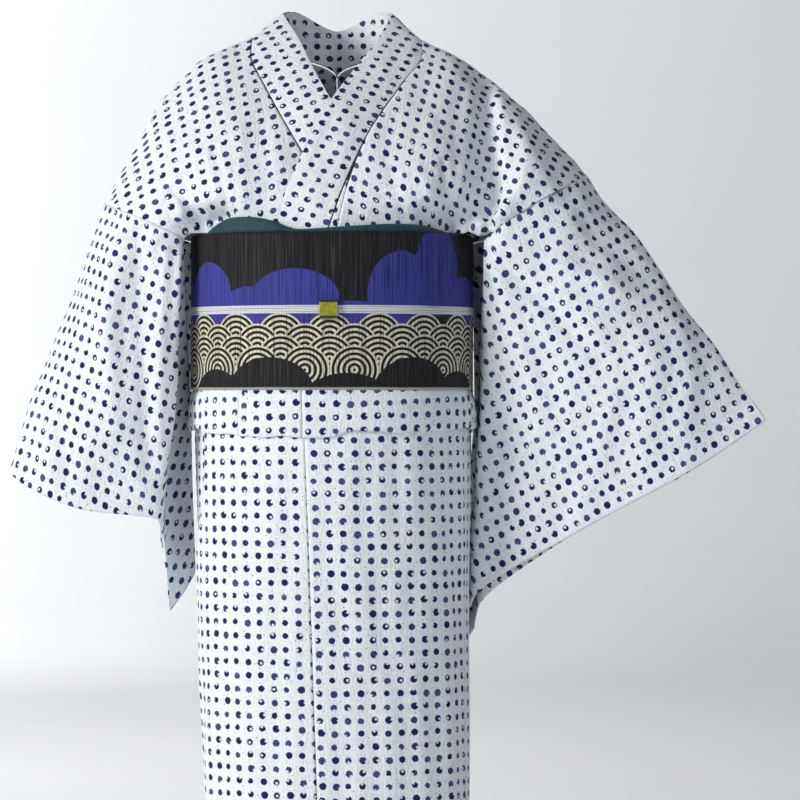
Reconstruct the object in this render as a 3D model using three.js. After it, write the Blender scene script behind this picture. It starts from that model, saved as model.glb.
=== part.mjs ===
// An unlined kimono with its belt set, held in the form it has when worn: hollow, left side over right.
// Millimetres. X to the wearer's left, Y to the back, Z up. The origin is where the shoulders carry it:
// midway between the neck points of the two shoulders.
import * as THREE from 'three';

// Driving dimensions
const CLOTH = 1.6; // wall of the kimono's cloth, its weave's slack included
const COLLAR_WALL = 2.4; // the collar band is folded, so four layers lie in it
const BELT_WALL = 3; // the belt goes round twice
const SEAM = 0.4; // free width left between two sewn pieces
const WRAP = 3.6; // how far the left front lies outside the right one
const OVAL = 2.2; // exponent of the body sections, 2 being an ellipse
const HEM = -1300;
const SKIRT_TOP = -352;
const BELT_TOP = -189;
const BELT_FOOT = -348;
const BELT_CLEAR = 3.1; // from the bodice to the belt, room for the scarf
const SCARF_WALL = 2;
const SCARF_CLEAR = 0.3;
const SCARF_FOOT = -206;
const CORD_MIDDLE = -267;
const CORD_HEIGHT = 8.4;
const CORD_WALL = 3;
const CORD_STRANDS = 4;
const DRUM_HALF_WIDTH = 150;
const SLIDE_WIDTH = 18.3;
const SLIDE_RIGHT = -11.2;
const SLIDE_HEIGHT = 19.2;
const SLIDE_DEPTH = 7.6;
const SLIDE_CHAMFER = 1.6;
const SLIDE_CLEAR = 0.4;
const RAD = Math.PI / 180;
const RING = 60; // stretches of a ring that goes all round the body
const MEAN_RADIUS = 130;
const FOLD_WALL = 1.5; // along a sharp fold the inner line stands back by this many walls

const finishes = {
  cotton: { color: 0xf4f8fb, roughness: 0.9, metalness: 0 },
  silk: { color: 0x1b1b1f, roughness: 0.7, metalness: 0 },
  scarf: { color: 0x10444c, roughness: 0.75, metalness: 0 },
  cord: { color: 0xe8e9ec, roughness: 0.7, metalness: 0 },
  glass: { color: 0xb5ae38, roughness: 0.2, metalness: 0 },
};

// Sections of the body's form, level by level: centre and half width across, depth to the front and back
const BODY = [
  { z: -150, centre: -1, half: 140, front: 118, back: 111 },
  { z: -345, centre: -1, half: 140, front: 118, back: 112 },
  { z: -380, centre: 0, half: 141.2, front: 117, back: 113 },
  { z: -400, centre: 0.5, half: 143.5, front: 116.5, back: 114 },
  { z: -576, centre: 1.7, half: 140.3, front: 98, back: 118 },
  { z: -777, centre: 6, half: 136.5, front: 81, back: 114 },
  { z: -1000, centre: 8, half: 130, front: 75, back: 107 },
  { z: -1300, centre: 8, half: 122, front: 78, back: 102 },
];

// The left bodice, row by row from the belt over the shoulder to the belt behind
const LEFT_BODICE = [
  { at: 'waist', edge: [6, -117.2, -187], chest: [79, -98.4, -187], valley: [123, -61.5, -187],
    ridge: [143, -64, -187], seam: [157, -62, -194] },
  { at: 'tuck', edge: [9, -116.6, -172], chest: [80, -98.8, -174], valley: [128, -63, -177],
    ridge: [152, -72, -181], seam: [165, -72, -188] },
  { at: 'low', edge: [17, -110, -140], chest: [94, -112, -146], valley: [162, -66, -152],
    ridge: [177, -84, -166], seam: [181, -80, -175] },
  { at: 'mid', edge: [38, -90, -86], chest: [104, -98, -108], valley: [166, -62, -115],
    ridge: [196, -84, -136], seam: [209, -80, -157] },
  { at: 'upper', edge: [72, -52, -33], chest: [118, -66, -62], valley: [162, -46, -70],
    ridge: [204, -66, -100], seam: [240, -66, -140] },
  { at: 'yoke', edge: [94, -18, 1], chest: [130, -28, -16], valley: [158, -20, -32],
    ridge: [204, -38, -72], seam: [257, -45, -129] },
  { at: 'shoulder', edge: [91, 10, 21], chest: [125, 6, 3], valley: [153, 3, -12.6],
    ridge: [201, -8, -55], seam: [264, -20, -123] },
  { at: 'behind', edge: [58, 52, 6], chest: [118, 42, -14], valley: [158, 36, -36],
    ridge: [204, 24, -74], seam: [262, 14, -128] },
  { at: 'nape', edge: [3.2, 76, -16], chest: [104, 78, -62], valley: [160, 62, -84],
    ridge: [200, 46, -112], seam: [246, 38, -142] },
  { at: 'blade', edge: [3.2, 98, -80], chest: [96, 98, -118], valley: [152, 72, -134],
    ridge: [182, 60, -148], seam: [214, 54, -164] },
  { at: 'back', edge: [3.2, 108, -140], chest: [86, 102, -152], valley: [134, 70, -166],
    ridge: [158, 62, -176], seam: [178, 58, -184] },
  { at: 'foot', edge: [3.2, 110, -187], chest: [80, 96, -187], valley: [120, 60, -187],
    ridge: [138, 54, -187], seam: [147.5, 42, -193] },
];

// The right bodice, the same rows; its front edge runs on under the left collar
const RIGHT_BODICE = [
  { at: 'waist', edge: [12, -112, -187], chest: [-80, -98, -187], valley: [-122, -61, -187],
    ridge: [-143, -62, -187], seam: [-153, -62, -193] },
  { at: 'tuck', edge: [4, -108, -165], chest: [-81, -98.2, -170], valley: [-123, -62, -174],
    ridge: [-148, -68, -180], seam: [-160, -70, -188] },
  { at: 'low', edge: [-18, -98, -126], chest: [-95, -104, -142], valley: [-142, -84, -155],
    ridge: [-160, -80, -164], seam: [-178, -74, -180] },
  { at: 'mid', edge: [-45, -78, -80], chest: [-104, -88, -104], valley: [-145, -80, -118],
    ridge: [-172, -74, -137], seam: [-205, -66, -168] },
  { at: 'upper', edge: [-68, -50, -38], chest: [-112, -62, -58], valley: [-150, -54, -76],
    ridge: [-183, -52, -108], seam: [-225, -42, -160] },
  { at: 'yoke', edge: [-86, -18, 2], chest: [-118, -28, -17], valley: [-152, -26, -38],
    ridge: [-186, -26, -80], seam: [-234, -28, -156] },
  { at: 'shoulder', edge: [-85, 10, 23], chest: [-120, 6, 8], valley: [-151, 3, -12.6],
    ridge: [-186, -2, -56], seam: [-239, -10, -154] },
  { at: 'behind', edge: [-52, 52, 8], chest: [-116, 42, -6], valley: [-152, 36, -30],
    ridge: [-187, 26, -78], seam: [-237, 16, -157] },
  { at: 'nape', edge: [2.4, 76, -16], chest: [-100, 78, -60], valley: [-150, 62, -84],
    ridge: [-182, 48, -118], seam: [-226, 36, -163] },
  { at: 'blade', edge: [2.4, 98, -80], chest: [-94, 98, -116], valley: [-146, 72, -132],
    ridge: [-168, 62, -150], seam: [-204, 52, -171] },
  { at: 'back', edge: [2.4, 108, -140], chest: [-84, 102, -152], valley: [-134, 70, -166],
    ridge: [-152, 62, -174], seam: [-176, 58, -183] },
  { at: 'foot', edge: [2.4, 110, -187], chest: [-80, 96, -187], valley: [-120, 60, -187],
    ridge: [-139, 54, -187], seam: [-149.5, 42, -192] },
];
const SHOULDER_ROW = 6;
const NAPE_ROW = 8;
const LAST_ROW = LEFT_BODICE.length - 1;

// The collar's free edge at the bodice rows from the waist to the nape
const LEFT_COLLAR = [
  { row: 0, free: [-56, -109.6, -187], drawn: 9 },
  { row: 1, free: [-50, -110.4, -163], drawn: 7 },
  { row: 2, free: [-44, -110, -141], drawn: 3.4 },
  { row: 3, free: [-8.5, -87, -64], drawn: 0 },
  { row: 4, free: [22, -48, -17], drawn: 0 },
  { row: 5, free: [46, -18, 17], drawn: 0 },
  { row: 6, free: [63, 12, 49], drawn: 0 },
];
const RIGHT_COLLAR = [
  { row: 2, free: [32, -91, -104], drawn: 0 },
  { row: 3, free: [4, -75.5, -57], drawn: 0 },
  { row: 4, free: [-19, -45, -15], drawn: 0 },
  { row: 5, free: [-36, -18, 20], drawn: 0 },
  { row: 6, free: [-54, 12, 49], drawn: 0 },
];
const BACK_COLLAR = [
  { turn: -2, free: [63, 12, 49] },
  { turn: -1, free: [50, 60, 54] },
  { turn: 0, free: [3, 92, 37] },
  { turn: 1, free: [-43, 60, 55] },
  { turn: 2, free: [-54, 12, 49] },
];

// The sleeves hang from the arm as bags. Share 0 is the body side, share 1 the cuff. Each row goes round the bag:
// from its bottom fold up the back layer, over the arm and down the front layer.
const LEFT_SLEEVE = [
  { share: 0, bottom: [139, 88, -500], backLow: [150, 60, -352], frontLow: [153, 26, -352] },
  { share: 0.33, bottom: [138, 105, -560], backLow: [157, 64, -455], backWrap: [168, 15, -326],
    backMid: [228, 18, -286], backArm: [285, 18, -240], top: [329, -33, -208],
    frontArm: [276, -78, -243], frontMid: [215, -64, -283], frontWrap: [158, -36, -320],
    frontLow: [154, 38, -448] },
  { share: 0.67, bottom: [134, 118, -605], backLow: [152, 70, -532], backWrap: [161, 4, -452],
    backMid: [253, -18, -386], backArm: [340, -14, -330], top: [390, -47, -295],
    frontArm: [332, -76, -333], frontMid: [245, -52, -385], frontWrap: [153, -14, -445],
    frontLow: [143, 50, -524] },
  { share: 1, bottom: [127, 112, -630], backLow: [148, 74, -608], backWrap: [154, 20, -577],
    backMid: [268, -14, -489], backArm: [375, -34, -427], top: [449, -60, -380],
    frontArm: [372.5, -62, -431.6], frontMid: [262, -34, -493], frontWrap: [148, 4, -566],
    frontLow: [138, 62, -600] },
];
const RIGHT_SLEEVE = [
  { share: 0, bottom: [-148, 50, -545], backLow: [-152, 58, -400], frontLow: [-150.5, 30, -390] },
  { share: 0.14, bottom: [-172, 4, -581], backLow: [-168, 50, -450], backWrap: [-172, 80, -260],
    backMid: [-210, 62, -215], backArm: [-246, 28, -202], top: [-253, -11, -193],
    frontArm: [-234, -48, -204], frontMid: [-205, -70, -215], frontWrap: [-157, -68, -225],
    frontLow: [-180, -12, -425] },
  { share: 0.45, bottom: [-171, 60, -570], backLow: [-181, 100, -520], backWrap: [-200, 108, -380],
    backMid: [-240, 78, -325], backArm: [-276, 28, -290], top: [-284, -15, -280],
    frontArm: [-264, -55, -292], frontMid: [-217, -74, -316], frontWrap: [-160, -63, -338],
    frontLow: [-184, 28, -478] },
  { share: 0.75, bottom: [-150, 118, -546], backLow: [-176, 146, -535], backWrap: [-208, 126, -440],
    backMid: [-257, 86, -400], backArm: [-303, 25, -366], top: [-314, -20, -357],
    frontArm: [-292, -58, -374], frontMid: [-242, -70, -402], frontWrap: [-170, -58, -425],
    frontLow: [-182, 62, -515] },
  { share: 1, bottom: [-130, 152, -548], backLow: [-170, 154, -528], backWrap: [-212, 130, -474],
    backMid: [-272, 86, -466], backArm: [-326, 20, -442], top: [-337, -25, -434],
    frontArm: [-314, -50, -450], frontMid: [-259, -60, -472], frontWrap: [-179, -52, -485],
    frontLow: [-174, 84, -536] },
];
const LOOP = { bottom: 0, backLow: 0.5, backWrap: 1, backMid: 4 / 3, backArm: 5 / 3, top: 2, frontArm: 7 / 3,
  frontMid: 8 / 3, frontWrap: 3, frontLow: 3.5 };
const SLEEVE_DEPTH_TURNS = 4;

// Where the lines of the skirt front run, as angles round the body: 0 is the left side, -90 the front
const SKIRT_LINES = [
  { z: -352, overlap: -99.5, edge: -151 },
  { z: -460, overlap: -98.5, edge: -155 },
  { z: -505, overlap: -98, edge: -165 },
  { z: -576, overlap: -97.5, edge: -179 },
  { z: -777, overlap: -97, edge: -185 },
  { z: -1300, overlap: -95, edge: -190 },
];
const LEFT_SIDE = -17;
const RIGHT_SIDE = -196;
const UNDER_OVERLAP = -74;
const UNDER_EDGE = -40;
const SKIRT_ROWS = [SKIRT_TOP, -380, -400, -440, -480, -512, -545, -580, -660, -777, -900, -1040, -1180, HEM];

// The tuck's section: how far it stands off the body's form on its way down, round its fold and up inside
const TUCK = [
  { off: 4, z: -348.6 },
  { off: 7.4, z: -354 },
  { off: 9.2, z: -366 },
  { off: 9.6, z: -380 },
  { off: 9.4, z: -391 },
  { off: 7.5, z: -396 },
  { off: 5.2, z: -391 },
  { off: 5.2, z: -372 },
];
const TUCK_FRONT_LINES = [LEFT_SIDE, -99.5, -127, -176];

// The scarf's upper edge above the belt, at angles round the front
const SCARF = [
  { turn: -28, top: -190.6 },
  { turn: -48, top: -183.5 },
  { turn: -62, top: -182 },
  { turn: -84, top: -185 },
  { turn: -101, top: -187 },
  { turn: -113, top: -179 },
  { turn: -133, top: -174.5 },
  { turn: -141, top: -182 },
  { turn: -148, top: -190.6 },
];

// The drum bow's section, from behind the band over the pad's place, down its face and up inside
const DRUM = [
  [118.6, -225], [118.6, -142], [130, -119], [158, -111], [182, -121], [194, -150], [199, -230], [200, -320],
  [196, -370], [184, -391], [166, -395], [149, -386], [141.4, -366], [141, -300],
];
const TAIL = { y: 139.1, top: -306, foot: -467, halfWidth: DRUM_HALF_WIDTH - 2 };
const HAND = { y: 143.3, top: -206, foot: -346, right: -144, left: 140 };

const vector = (p) => new THREE.Vector3(p[0], p[1], p[2]);
const ease = (t) => t * t * (3 - 2 * t);
const clamp = (t) => Math.min(1, Math.max(0, t));
const rise = (from, to, at) => clamp((at - from) / (to - from));
const steps = (from, to, count) => Array.from({ length: count + 1 }, (_, i) => from + ((to - from) * i) / count);
const ringTurns = (from) => steps(from, from + 360 - 360 / RING, RING - 1);

// A smooth curve through values at rising knots that never swings past them, straight on beyond its ends
function through(knots, values, at) {
  const last = knots.length - 1;
  let i = 0;
  while (i < last - 1 && at > knots[i + 1]) i += 1;
  const slope = (k, c) => {
    const before = k > 0 ? (values[k][c] - values[k - 1][c]) / (knots[k] - knots[k - 1]) : null;
    const after = k < last ? (values[k + 1][c] - values[k][c]) / (knots[k + 1] - knots[k]) : null;
    if (before === null || after === null) return before ?? after;
    if (before * after <= 0) return 0;
    return Math.sign(after) * Math.min(Math.abs(before + after) / 2, 3 * Math.abs(before), 3 * Math.abs(after));
  };
  const width = knots[i + 1] - knots[i];
  const t = clamp((at - knots[i]) / width);
  const beyond = at - (knots[i] + t * width);
  return values[i].map((_, c) => {
    const m0 = slope(i, c) * width;
    const m1 = slope(i + 1, c) * width;
    const p0 = values[i][c];
    const p1 = values[i + 1][c];
    const cubic = (2 * t ** 3 - 3 * t ** 2 + 1) * p0 + (t ** 3 - 2 * t ** 2 + t) * m0
      + (3 * t ** 2 - 2 * t ** 3) * p1 + (t ** 3 - t ** 2) * m1;
    return cubic + beyond * slope(beyond < 0 ? i : i + 1, c);
  });
}

// Rising knots are needed, so a table that runs downwards is read by its negative
const column = (table, key, names, at, sign = 1) =>
  through(table.map((r) => sign * r[key]), table.map((r) => names.map((n) => r[n])), sign * at);

// A point of the body's form at an angle and level, moved out by lift
function onBody(angle, z, lift) {
  const [centre, half, front, back] = column(BODY, 'z', ['centre', 'half', 'front', 'back'], z, -1);
  const c = Math.cos(angle * RAD);
  const s = Math.sin(angle * RAD);
  const depth = s < 0 ? front : back;
  const power = (v) => Math.sign(v) * Math.abs(v) ** (2 / OVAL);
  const out = new THREE.Vector3(Math.sign(c) * Math.abs(power(c)) ** (OVAL - 1) / half,
    Math.sign(s) * Math.abs(power(s)) ** (OVAL - 1) / depth, 0).normalize();
  return new THREE.Vector3(centre + half * power(c), depth * power(s), z).addScaledVector(out, lift);
}

// A closed wall on a surface: its points at the given steps, and the same points moved in by the wall
function wall(surface, across, along, thickness, { round = false, crease = false } = {}) {
  const columns = across.length;
  const positions = [];
  const inner = [];
  const delta = 1e-3;
  along.forEach((v) => across.forEach((u, j) => {
    const point = surface(u, v);
    const du = surface(u + delta, v).sub(surface(u - delta, v));
    const dv = surface(u, v + delta).sub(surface(u, v - delta));
    let inward = du.cross(dv).normalize();
    if (crease && j === 0) {
      const before = surface(across[columns - 1], v);
      const middle = surface(across[1], v).add(before).sub(point.clone().multiplyScalar(2));
      inward = middle.normalize().multiplyScalar(FOLD_WALL);
    }
    positions.push(point);
    inner.push(point.clone().addScaledVector(inward, thickness));
  }));
  const count = positions.length;
  const faces = [];
  const quad = (a, b, c, d) => faces.push([a, b, c], [a, c, d]);
  const id = (i, j) => i * columns + (j % columns);
  const wide = round ? columns : columns - 1;
  for (let i = 0; i < along.length - 1; i += 1) {
    for (let j = 0; j < wide; j += 1) {
      quad(id(i, j), id(i, j + 1), id(i + 1, j + 1), id(i + 1, j));
      quad(count + id(i, j), count + id(i + 1, j), count + id(i + 1, j + 1), count + id(i, j + 1));
    }
  }
  const end = along.length - 1;
  for (let j = 0; j < wide; j += 1) {
    quad(id(0, j + 1), id(0, j), count + id(0, j), count + id(0, j + 1));
    quad(id(end, j), id(end, j + 1), count + id(end, j + 1), count + id(end, j));
  }
  for (let i = 0; i < end && !round; i += 1) {
    quad(id(i, 0), id(i + 1, 0), count + id(i + 1, 0), count + id(i, 0));
    const from = id(i, columns - 1);
    const to = id(i + 1, columns - 1);
    quad(to, from, count + from, count + to);
  }
  return solid([...positions, ...inner], faces);
}

// Triangles as a geometry, turned so that they face out
function solid(points, faces) {
  const share = ([a, b, c]) => points[a].dot(points[b].clone().cross(points[c]));
  const volume = faces.reduce((sum, face) => sum + share(face), 0);
  const geometry = new THREE.BufferGeometry();
  geometry.setAttribute('position', new THREE.Float32BufferAttribute(points.flatMap((p) => [p.x, p.y, p.z]), 3));
  geometry.setIndex(faces.flatMap(([a, b, c]) => (volume > 0 ? [a, b, c] : [a, c, b])));
  geometry.computeVertexNormals();
  return geometry;
}

const kimono = new THREE.Group();
function add(name, geometry, finish) {
  const mesh = new THREE.Mesh(geometry, new THREE.MeshStandardMaterial(finishes[finish]));
  mesh.name = name;
  kimono.add(mesh);
}

// Bodices: across from the collar to the sleeve seam, along from the belt over the shoulder to the belt behind
const BODICE_COLUMNS = ['edge', 'chest', 'valley', 'ridge', 'seam'];
function bodicePoint(rows, u, v) {
  const crossing = BODICE_COLUMNS.map((name) => through(rows.map((_, i) => i), rows.map((r) => r[name]), v));
  return vector(through(BODICE_COLUMNS.map((_, i) => i), crossing, u));
}
const SEWN_STEP = SEAM / 60; // a seam's free width as a share of a bodice column
const bodiceAcross = steps(SEWN_STEP, 4 - SEWN_STEP, 10);
const bodiceAlong = steps(0, LAST_ROW, 22);
for (const [name, rows] of [['bodice_left', LEFT_BODICE], ['bodice_right', RIGHT_BODICE]]) {
  const inward = rows === LEFT_BODICE ? -1 : 1;
  add(name, wall((u, v) => bodicePoint(rows, u, v), bodiceAcross, bodiceAlong, inward * CLOTH), 'cotton');
}

// Collar runs: from the sewn edge on the bodice to the free edge, a little crowned between
const CROWN = 2.5;
const CROWN_ROWS = { starts: 0.5, full: 2, fades: 4 };
const COLLAR_END = SHOULDER_ROW - 0.05;
const BACK_COLLAR_END = BACK_COLLAR[BACK_COLLAR.length - 1].turn - 0.04;
function collarPoint(rows, bodice, u, v) {
  const [x, y, z, drawn] = through(rows.map((r) => r.row), rows.map((r) => [...r.free, r.drawn]), v);
  const sewn = bodicePoint(bodice, 0, v).add(new THREE.Vector3(-drawn, 0, 0));
  const point = sewn.lerp(vector([x, y, z]), u);
  point.y -= CROWN * 4 * u * (1 - u) * rise(CROWN_ROWS.starts, CROWN_ROWS.full, v)
    * rise(SHOULDER_ROW, CROWN_ROWS.fades, v);
  return point;
}
const collarAcross = [0.02, 0.25, 0.5, 0.75, 1];
add('collar_left', wall((u, v) => collarPoint(LEFT_COLLAR, LEFT_BODICE, u, v), collarAcross,
  steps(0, COLLAR_END, 16), COLLAR_WALL), 'cotton');
add('collar_right', wall((u, v) => collarPoint(RIGHT_COLLAR, RIGHT_BODICE, u, v), collarAcross,
  steps(RIGHT_COLLAR[0].row, COLLAR_END, 12), -COLLAR_WALL), 'cotton');
add('collar_back', wall((u, v) => {
  const sewn = bodicePoint(v < 0 ? LEFT_BODICE : RIGHT_BODICE, 0, NAPE_ROW - Math.abs(v));
  return sewn.lerp(vector(through(BACK_COLLAR.map((r) => r.turn), BACK_COLLAR.map((r) => r.free), v)), u);
}, [0.02, 0.34, 0.67, 1], steps(-BACK_COLLAR_END, BACK_COLLAR_END, 14), COLLAR_WALL), 'cotton');

// The left overlap's sliver between the collar and the bodice, above the belt
add('overlap_left_upper', wall((u, v) => {
  const [drawn] = through(LEFT_COLLAR.map((r) => r.row), LEFT_COLLAR.map((r) => [r.drawn]), v);
  return bodicePoint(LEFT_BODICE, 0, v).add(new THREE.Vector3(-SEAM - u * (drawn - 2 * SEAM), 0, 0));
}, [0, 1], steps(0, 2.1, 6), CLOTH), 'cotton');

// Sleeves: the first row's upper part is the bodice's own seam line
const HANG = ['bottom', 'backLow', 'backWrap', 'backMid', 'backArm', 'top', 'frontArm', 'frontMid', 'frontWrap',
  'frontLow'];
const ring = (row, names, u) => through([...names.map((n) => LOOP[n]), SLEEVE_DEPTH_TURNS],
  [...names.map((n) => row[n]), row.bottom], u);
function bodySide(rows, bodice, u) {
  if (u >= 1 && u <= 2) return bodicePoint(bodice, 4, LAST_ROW - (u - 1) * (LAST_ROW - SHOULDER_ROW)).toArray();
  if (u > 2 && u <= 3) return bodicePoint(bodice, 4, SHOULDER_ROW * (3 - u)).toArray();
  const first = { ...rows[0], backWrap: bodice[LAST_ROW].seam, frontWrap: bodice[0].seam };
  return u < 1 ? ring(first, ['bottom', 'backLow', 'backWrap'], u) : ring(first, ['frontWrap', 'frontLow'], u);
}
function sleevePoint(rows, bodice, u, v) {
  const turn = (u + SLEEVE_DEPTH_TURNS) % SLEEVE_DEPTH_TURNS;
  const crossing = rows.map((r, i) => (i === 0 ? bodySide(rows, bodice, turn) : ring(r, HANG, turn)));
  return vector(through(rows.map((r) => r.share), crossing, v));
}
const sleeveAcross = [...steps(0, 1, 4), ...steps(1.1, 2, 9), ...steps(2 + 1 / 12, 3, 11), ...steps(3.25, 3.75, 2)];
const sleeveAlong = steps(0.0035, 1, 12);
for (const [name, rows, bodice, side] of [['sleeve_left', LEFT_SLEEVE, LEFT_BODICE, -1],
  ['sleeve_right', RIGHT_SLEEVE, RIGHT_BODICE, 1]]) {
  add(name, wall((u, v) => sleevePoint(rows, bodice, u, v), sleeveAcross, sleeveAlong, side * CLOTH,
    { round: true, crease: true }), 'cotton');
}

// Skirt panels: across by angle, down by level; the left front lies outside the right one
const arc = (from, to, step) => steps(from, to, Math.max(1, Math.round(Math.abs(to - from) / step)));
const skirtLine = (name, z) => column(SKIRT_LINES, 'z', [name], z, -1)[0];
const WRAP_TURN = 20; // the angle over which the left front rises to its place outside the right one
const overLift = (angle) => WRAP * ease(rise(LEFT_SIDE, LEFT_SIDE - WRAP_TURN, angle));
const GAP_TURN = SEAM / 2 / MEAN_RADIUS / RAD;
function skirtPanel(name, from, to, columns, lift) {
  add(name, wall((u, v) => {
    const a = from(v) + (to(v) - from(v)) * u;
    return onBody(a, v, lift(a));
  }, steps(0, 1, columns), SKIRT_ROWS, CLOTH), 'cotton');
}
const fixed = (angle) => () => angle;
const besideOverlap = (z) => skirtLine('overlap', z) + GAP_TURN;
const overlapSeam = (z) => skirtLine('overlap', z) - GAP_TURN;
const freeEdge = (z) => skirtLine('edge', z);
skirtPanel('skirt_front_left', fixed(LEFT_SIDE - GAP_TURN), besideOverlap, 11, overLift);
skirtPanel('skirt_overlap_left', overlapSeam, freeEdge, 9, overLift);
skirtPanel('skirt_front_right', fixed(UNDER_OVERLAP - GAP_TURN), fixed(RIGHT_SIDE + GAP_TURN), 15, fixed(0));
skirtPanel('skirt_overlap_right', fixed(UNDER_EDGE), fixed(UNDER_OVERLAP + GAP_TURN), 5, fixed(0));
skirtPanel('skirt_back_left', fixed(90 - GAP_TURN), fixed(LEFT_SIDE + GAP_TURN), 13, fixed(0));
skirtPanel('skirt_back_right', fixed(360 + RIGHT_SIDE - GAP_TURN), fixed(90 + GAP_TURN), 9, fixed(0));

// The tuck under the belt, one stretch for each panel that shows in it
function tuck(name, from, to) {
  add(name, wall((u, v) => {
    const [off, z] = through(TUCK.map((_, i) => i), TUCK.map((r) => [r.off, r.z]), u);
    return onBody(v, z, off);
  }, steps(0, TUCK.length - 1, 10), arc(from, to, 7), -CLOTH), 'cotton');
}
const FRONT_TUCK_NAMES = ['tuck_front_left', 'tuck_overlap_left', 'tuck_collar_end'];
FRONT_TUCK_NAMES.forEach((name, i) => {
  tuck(name, TUCK_FRONT_LINES[i] - GAP_TURN, TUCK_FRONT_LINES[i + 1] + GAP_TURN);
});
tuck('tuck_back_left', 90 - GAP_TURN, LEFT_SIDE + GAP_TURN);
tuck('tuck_back_right', 360 + TUCK_FRONT_LINES[3] - GAP_TURN, 90 + GAP_TURN);

// The belt's band, the scarf over it and the cords round it
add('belt_band', wall((u, v) => onBody(u, v, BELT_CLEAR + BELT_WALL), ringTurns(0), [BELT_TOP, BELT_FOOT],
  -BELT_WALL, { round: true }), 'silk');
add('scarf', wall((u, v) => {
  const [top] = through(SCARF.map((r) => -r.turn), SCARF.map((r) => [r.top]), -u);
  return onBody(u, SCARF_FOOT + (top - SCARF_FOOT) * v, SCARF_CLEAR + SCARF_WALL);
}, steps(SCARF[0].turn, SCARF[SCARF.length - 1].turn, 20), [0, 0.5, 1], -SCARF_WALL), 'scarf');

add('bow_drum', wall((u, v) => {
  const [y, z] = through(DRUM.map((_, i) => i), DRUM, u);
  return vector([v, y, z]);
}, steps(0, DRUM.length - 1, 26), steps(-DRUM_HALF_WIDTH, DRUM_HALF_WIDTH, 2), CLOTH), 'silk');
add('belt_tail', wall((u, v) => vector([v, TAIL.y, u]), steps(TAIL.foot, TAIL.top, 2),
  steps(-TAIL.halfWidth, TAIL.halfWidth, 2), CLOTH), 'silk');
add('belt_hand', wall((u, v) => vector([v, HAND.y, u]), [HAND.foot, HAND.top],
  steps(HAND.right, HAND.left, 2), CLOTH), 'silk');

// The cords: side by side in one band, round the belt and straight through the bow
const CORD_THROUGH = [
  { turn: 24, x: 145.5, y: 84 },
  { turn: 30, x: 151.6, y: 122 },
  { turn: 36, x: 153, y: 142 },
  { turn: 42, x: 147, y: 147 },
  { turn: 54, x: 100, y: 145.6 },
  { turn: 72, x: 50, y: 145.4 },
  { turn: 90, x: 0, y: 145.4 },
];
const CORD_LEAVES = 18; // the angle at which the cords leave the band for the bow
const CORD_DROP = 34; // how far lower they lie at the back
const CORD_DROP_TURNS = { from: -10, to: 28 };
const CORD_LIFT = BELT_CLEAR + BELT_WALL + 0.3;
function cordPoint(angle) {
  const side = angle > 90 ? -1 : 1;
  const turn = angle > 90 ? 180 - angle : angle;
  const level = CORD_MIDDLE - CORD_DROP * ease(rise(CORD_DROP_TURNS.from, CORD_DROP_TURNS.to, turn));
  if (turn <= CORD_LEAVES) return onBody(angle, level, CORD_LIFT);
  const [x, y] = column(CORD_THROUGH, 'turn', ['x', 'y'], turn);
  return new THREE.Vector3(side * x, y, level);
}
function cordPath(angle) {
  const ahead = cordPoint(angle + 0.5).sub(cordPoint(angle - 0.5));
  return { on: cordPoint(angle), out: new THREE.Vector3(ahead.y, -ahead.x, 0).normalize() };
}
function cordBand() {
  const turns = ringTurns(-90);
  const profile = [[0, CORD_HEIGHT / 2]];
  for (let i = 0; i < CORD_STRANDS; i += 1) {
    const top = CORD_HEIGHT / 2 - (i * CORD_HEIGHT) / CORD_STRANDS;
    profile.push([CORD_WALL * 0.6, top], [CORD_WALL, top - CORD_HEIGHT / CORD_STRANDS / 2]);
  }
  profile.push([CORD_WALL * 0.6, -CORD_HEIGHT / 2], [0, -CORD_HEIGHT / 2]);
  const points = [];
  const faces = [];
  const size = profile.length;
  turns.forEach((turn) => {
    const { on, out } = cordPath(turn);
    profile.forEach(([off, rise]) => points.push(on.clone().addScaledVector(out, off).setZ(on.z + rise)));
  });
  turns.forEach((_, i) => profile.forEach((__, j) => {
    const next = (i + 1) % turns.length;
    const a = i * size + j;
    const b = i * size + ((j + 1) % size);
    const c = next * size + ((j + 1) % size);
    const d = next * size + j;
    faces.push([a, b, c], [a, c, d]);
  }));
  return solid(points, faces);
}
add('belt_cords', cordBand(), 'cord');

// The glass slide: a block whose slot takes the cords, drawn in section and carried across
function slide() {
  const back = onBody(-90, CORD_MIDDLE, BELT_CLEAR + BELT_WALL + SLIDE_CLEAR).y;
  const half = SLIDE_HEIGHT / 2;
  const rim = SLIDE_DEPTH - SLIDE_CHAMFER;
  const slot = CORD_HEIGHT / 2 + SLIDE_CLEAR;
  const depth = CORD_WALL + 2 * SLIDE_CLEAR;
  const outline = [[0, -half], [rim, -half], [SLIDE_DEPTH, SLIDE_CHAMFER - half],
    [SLIDE_DEPTH, half - SLIDE_CHAMFER], [rim, half], [0, half],
    [0, slot], [depth, slot], [depth, -slot], [0, -slot]];
  const shape = new THREE.Shape(outline.map(([y, z]) => new THREE.Vector2(y, z)));
  const geometry = new THREE.ExtrudeGeometry(shape, { depth: SLIDE_WIDTH, bevelEnabled: false });
  geometry.rotateX(Math.PI / 2);
  geometry.rotateZ(-Math.PI / 2);
  geometry.translate(SLIDE_RIGHT + SLIDE_WIDTH, back, CORD_MIDDLE);
  return geometry;
}
add('slide_glass', slide(), 'glass');

export default kimono;
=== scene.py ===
"""Looks of an unlined dotted kimono with its belt set, in the hollow form it has when worn.

Every cloth piece is a thin shell on the surface that its CAD solid has, worked out from the same tables, with its
creases as soft troughs and ridges. Lengths in the tables are millimetres, in the frame of the CAD: X to the wearer's
left, Y to the back, Z up, origin between the neck points of the shoulders.
"""

from __future__ import annotations

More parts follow.
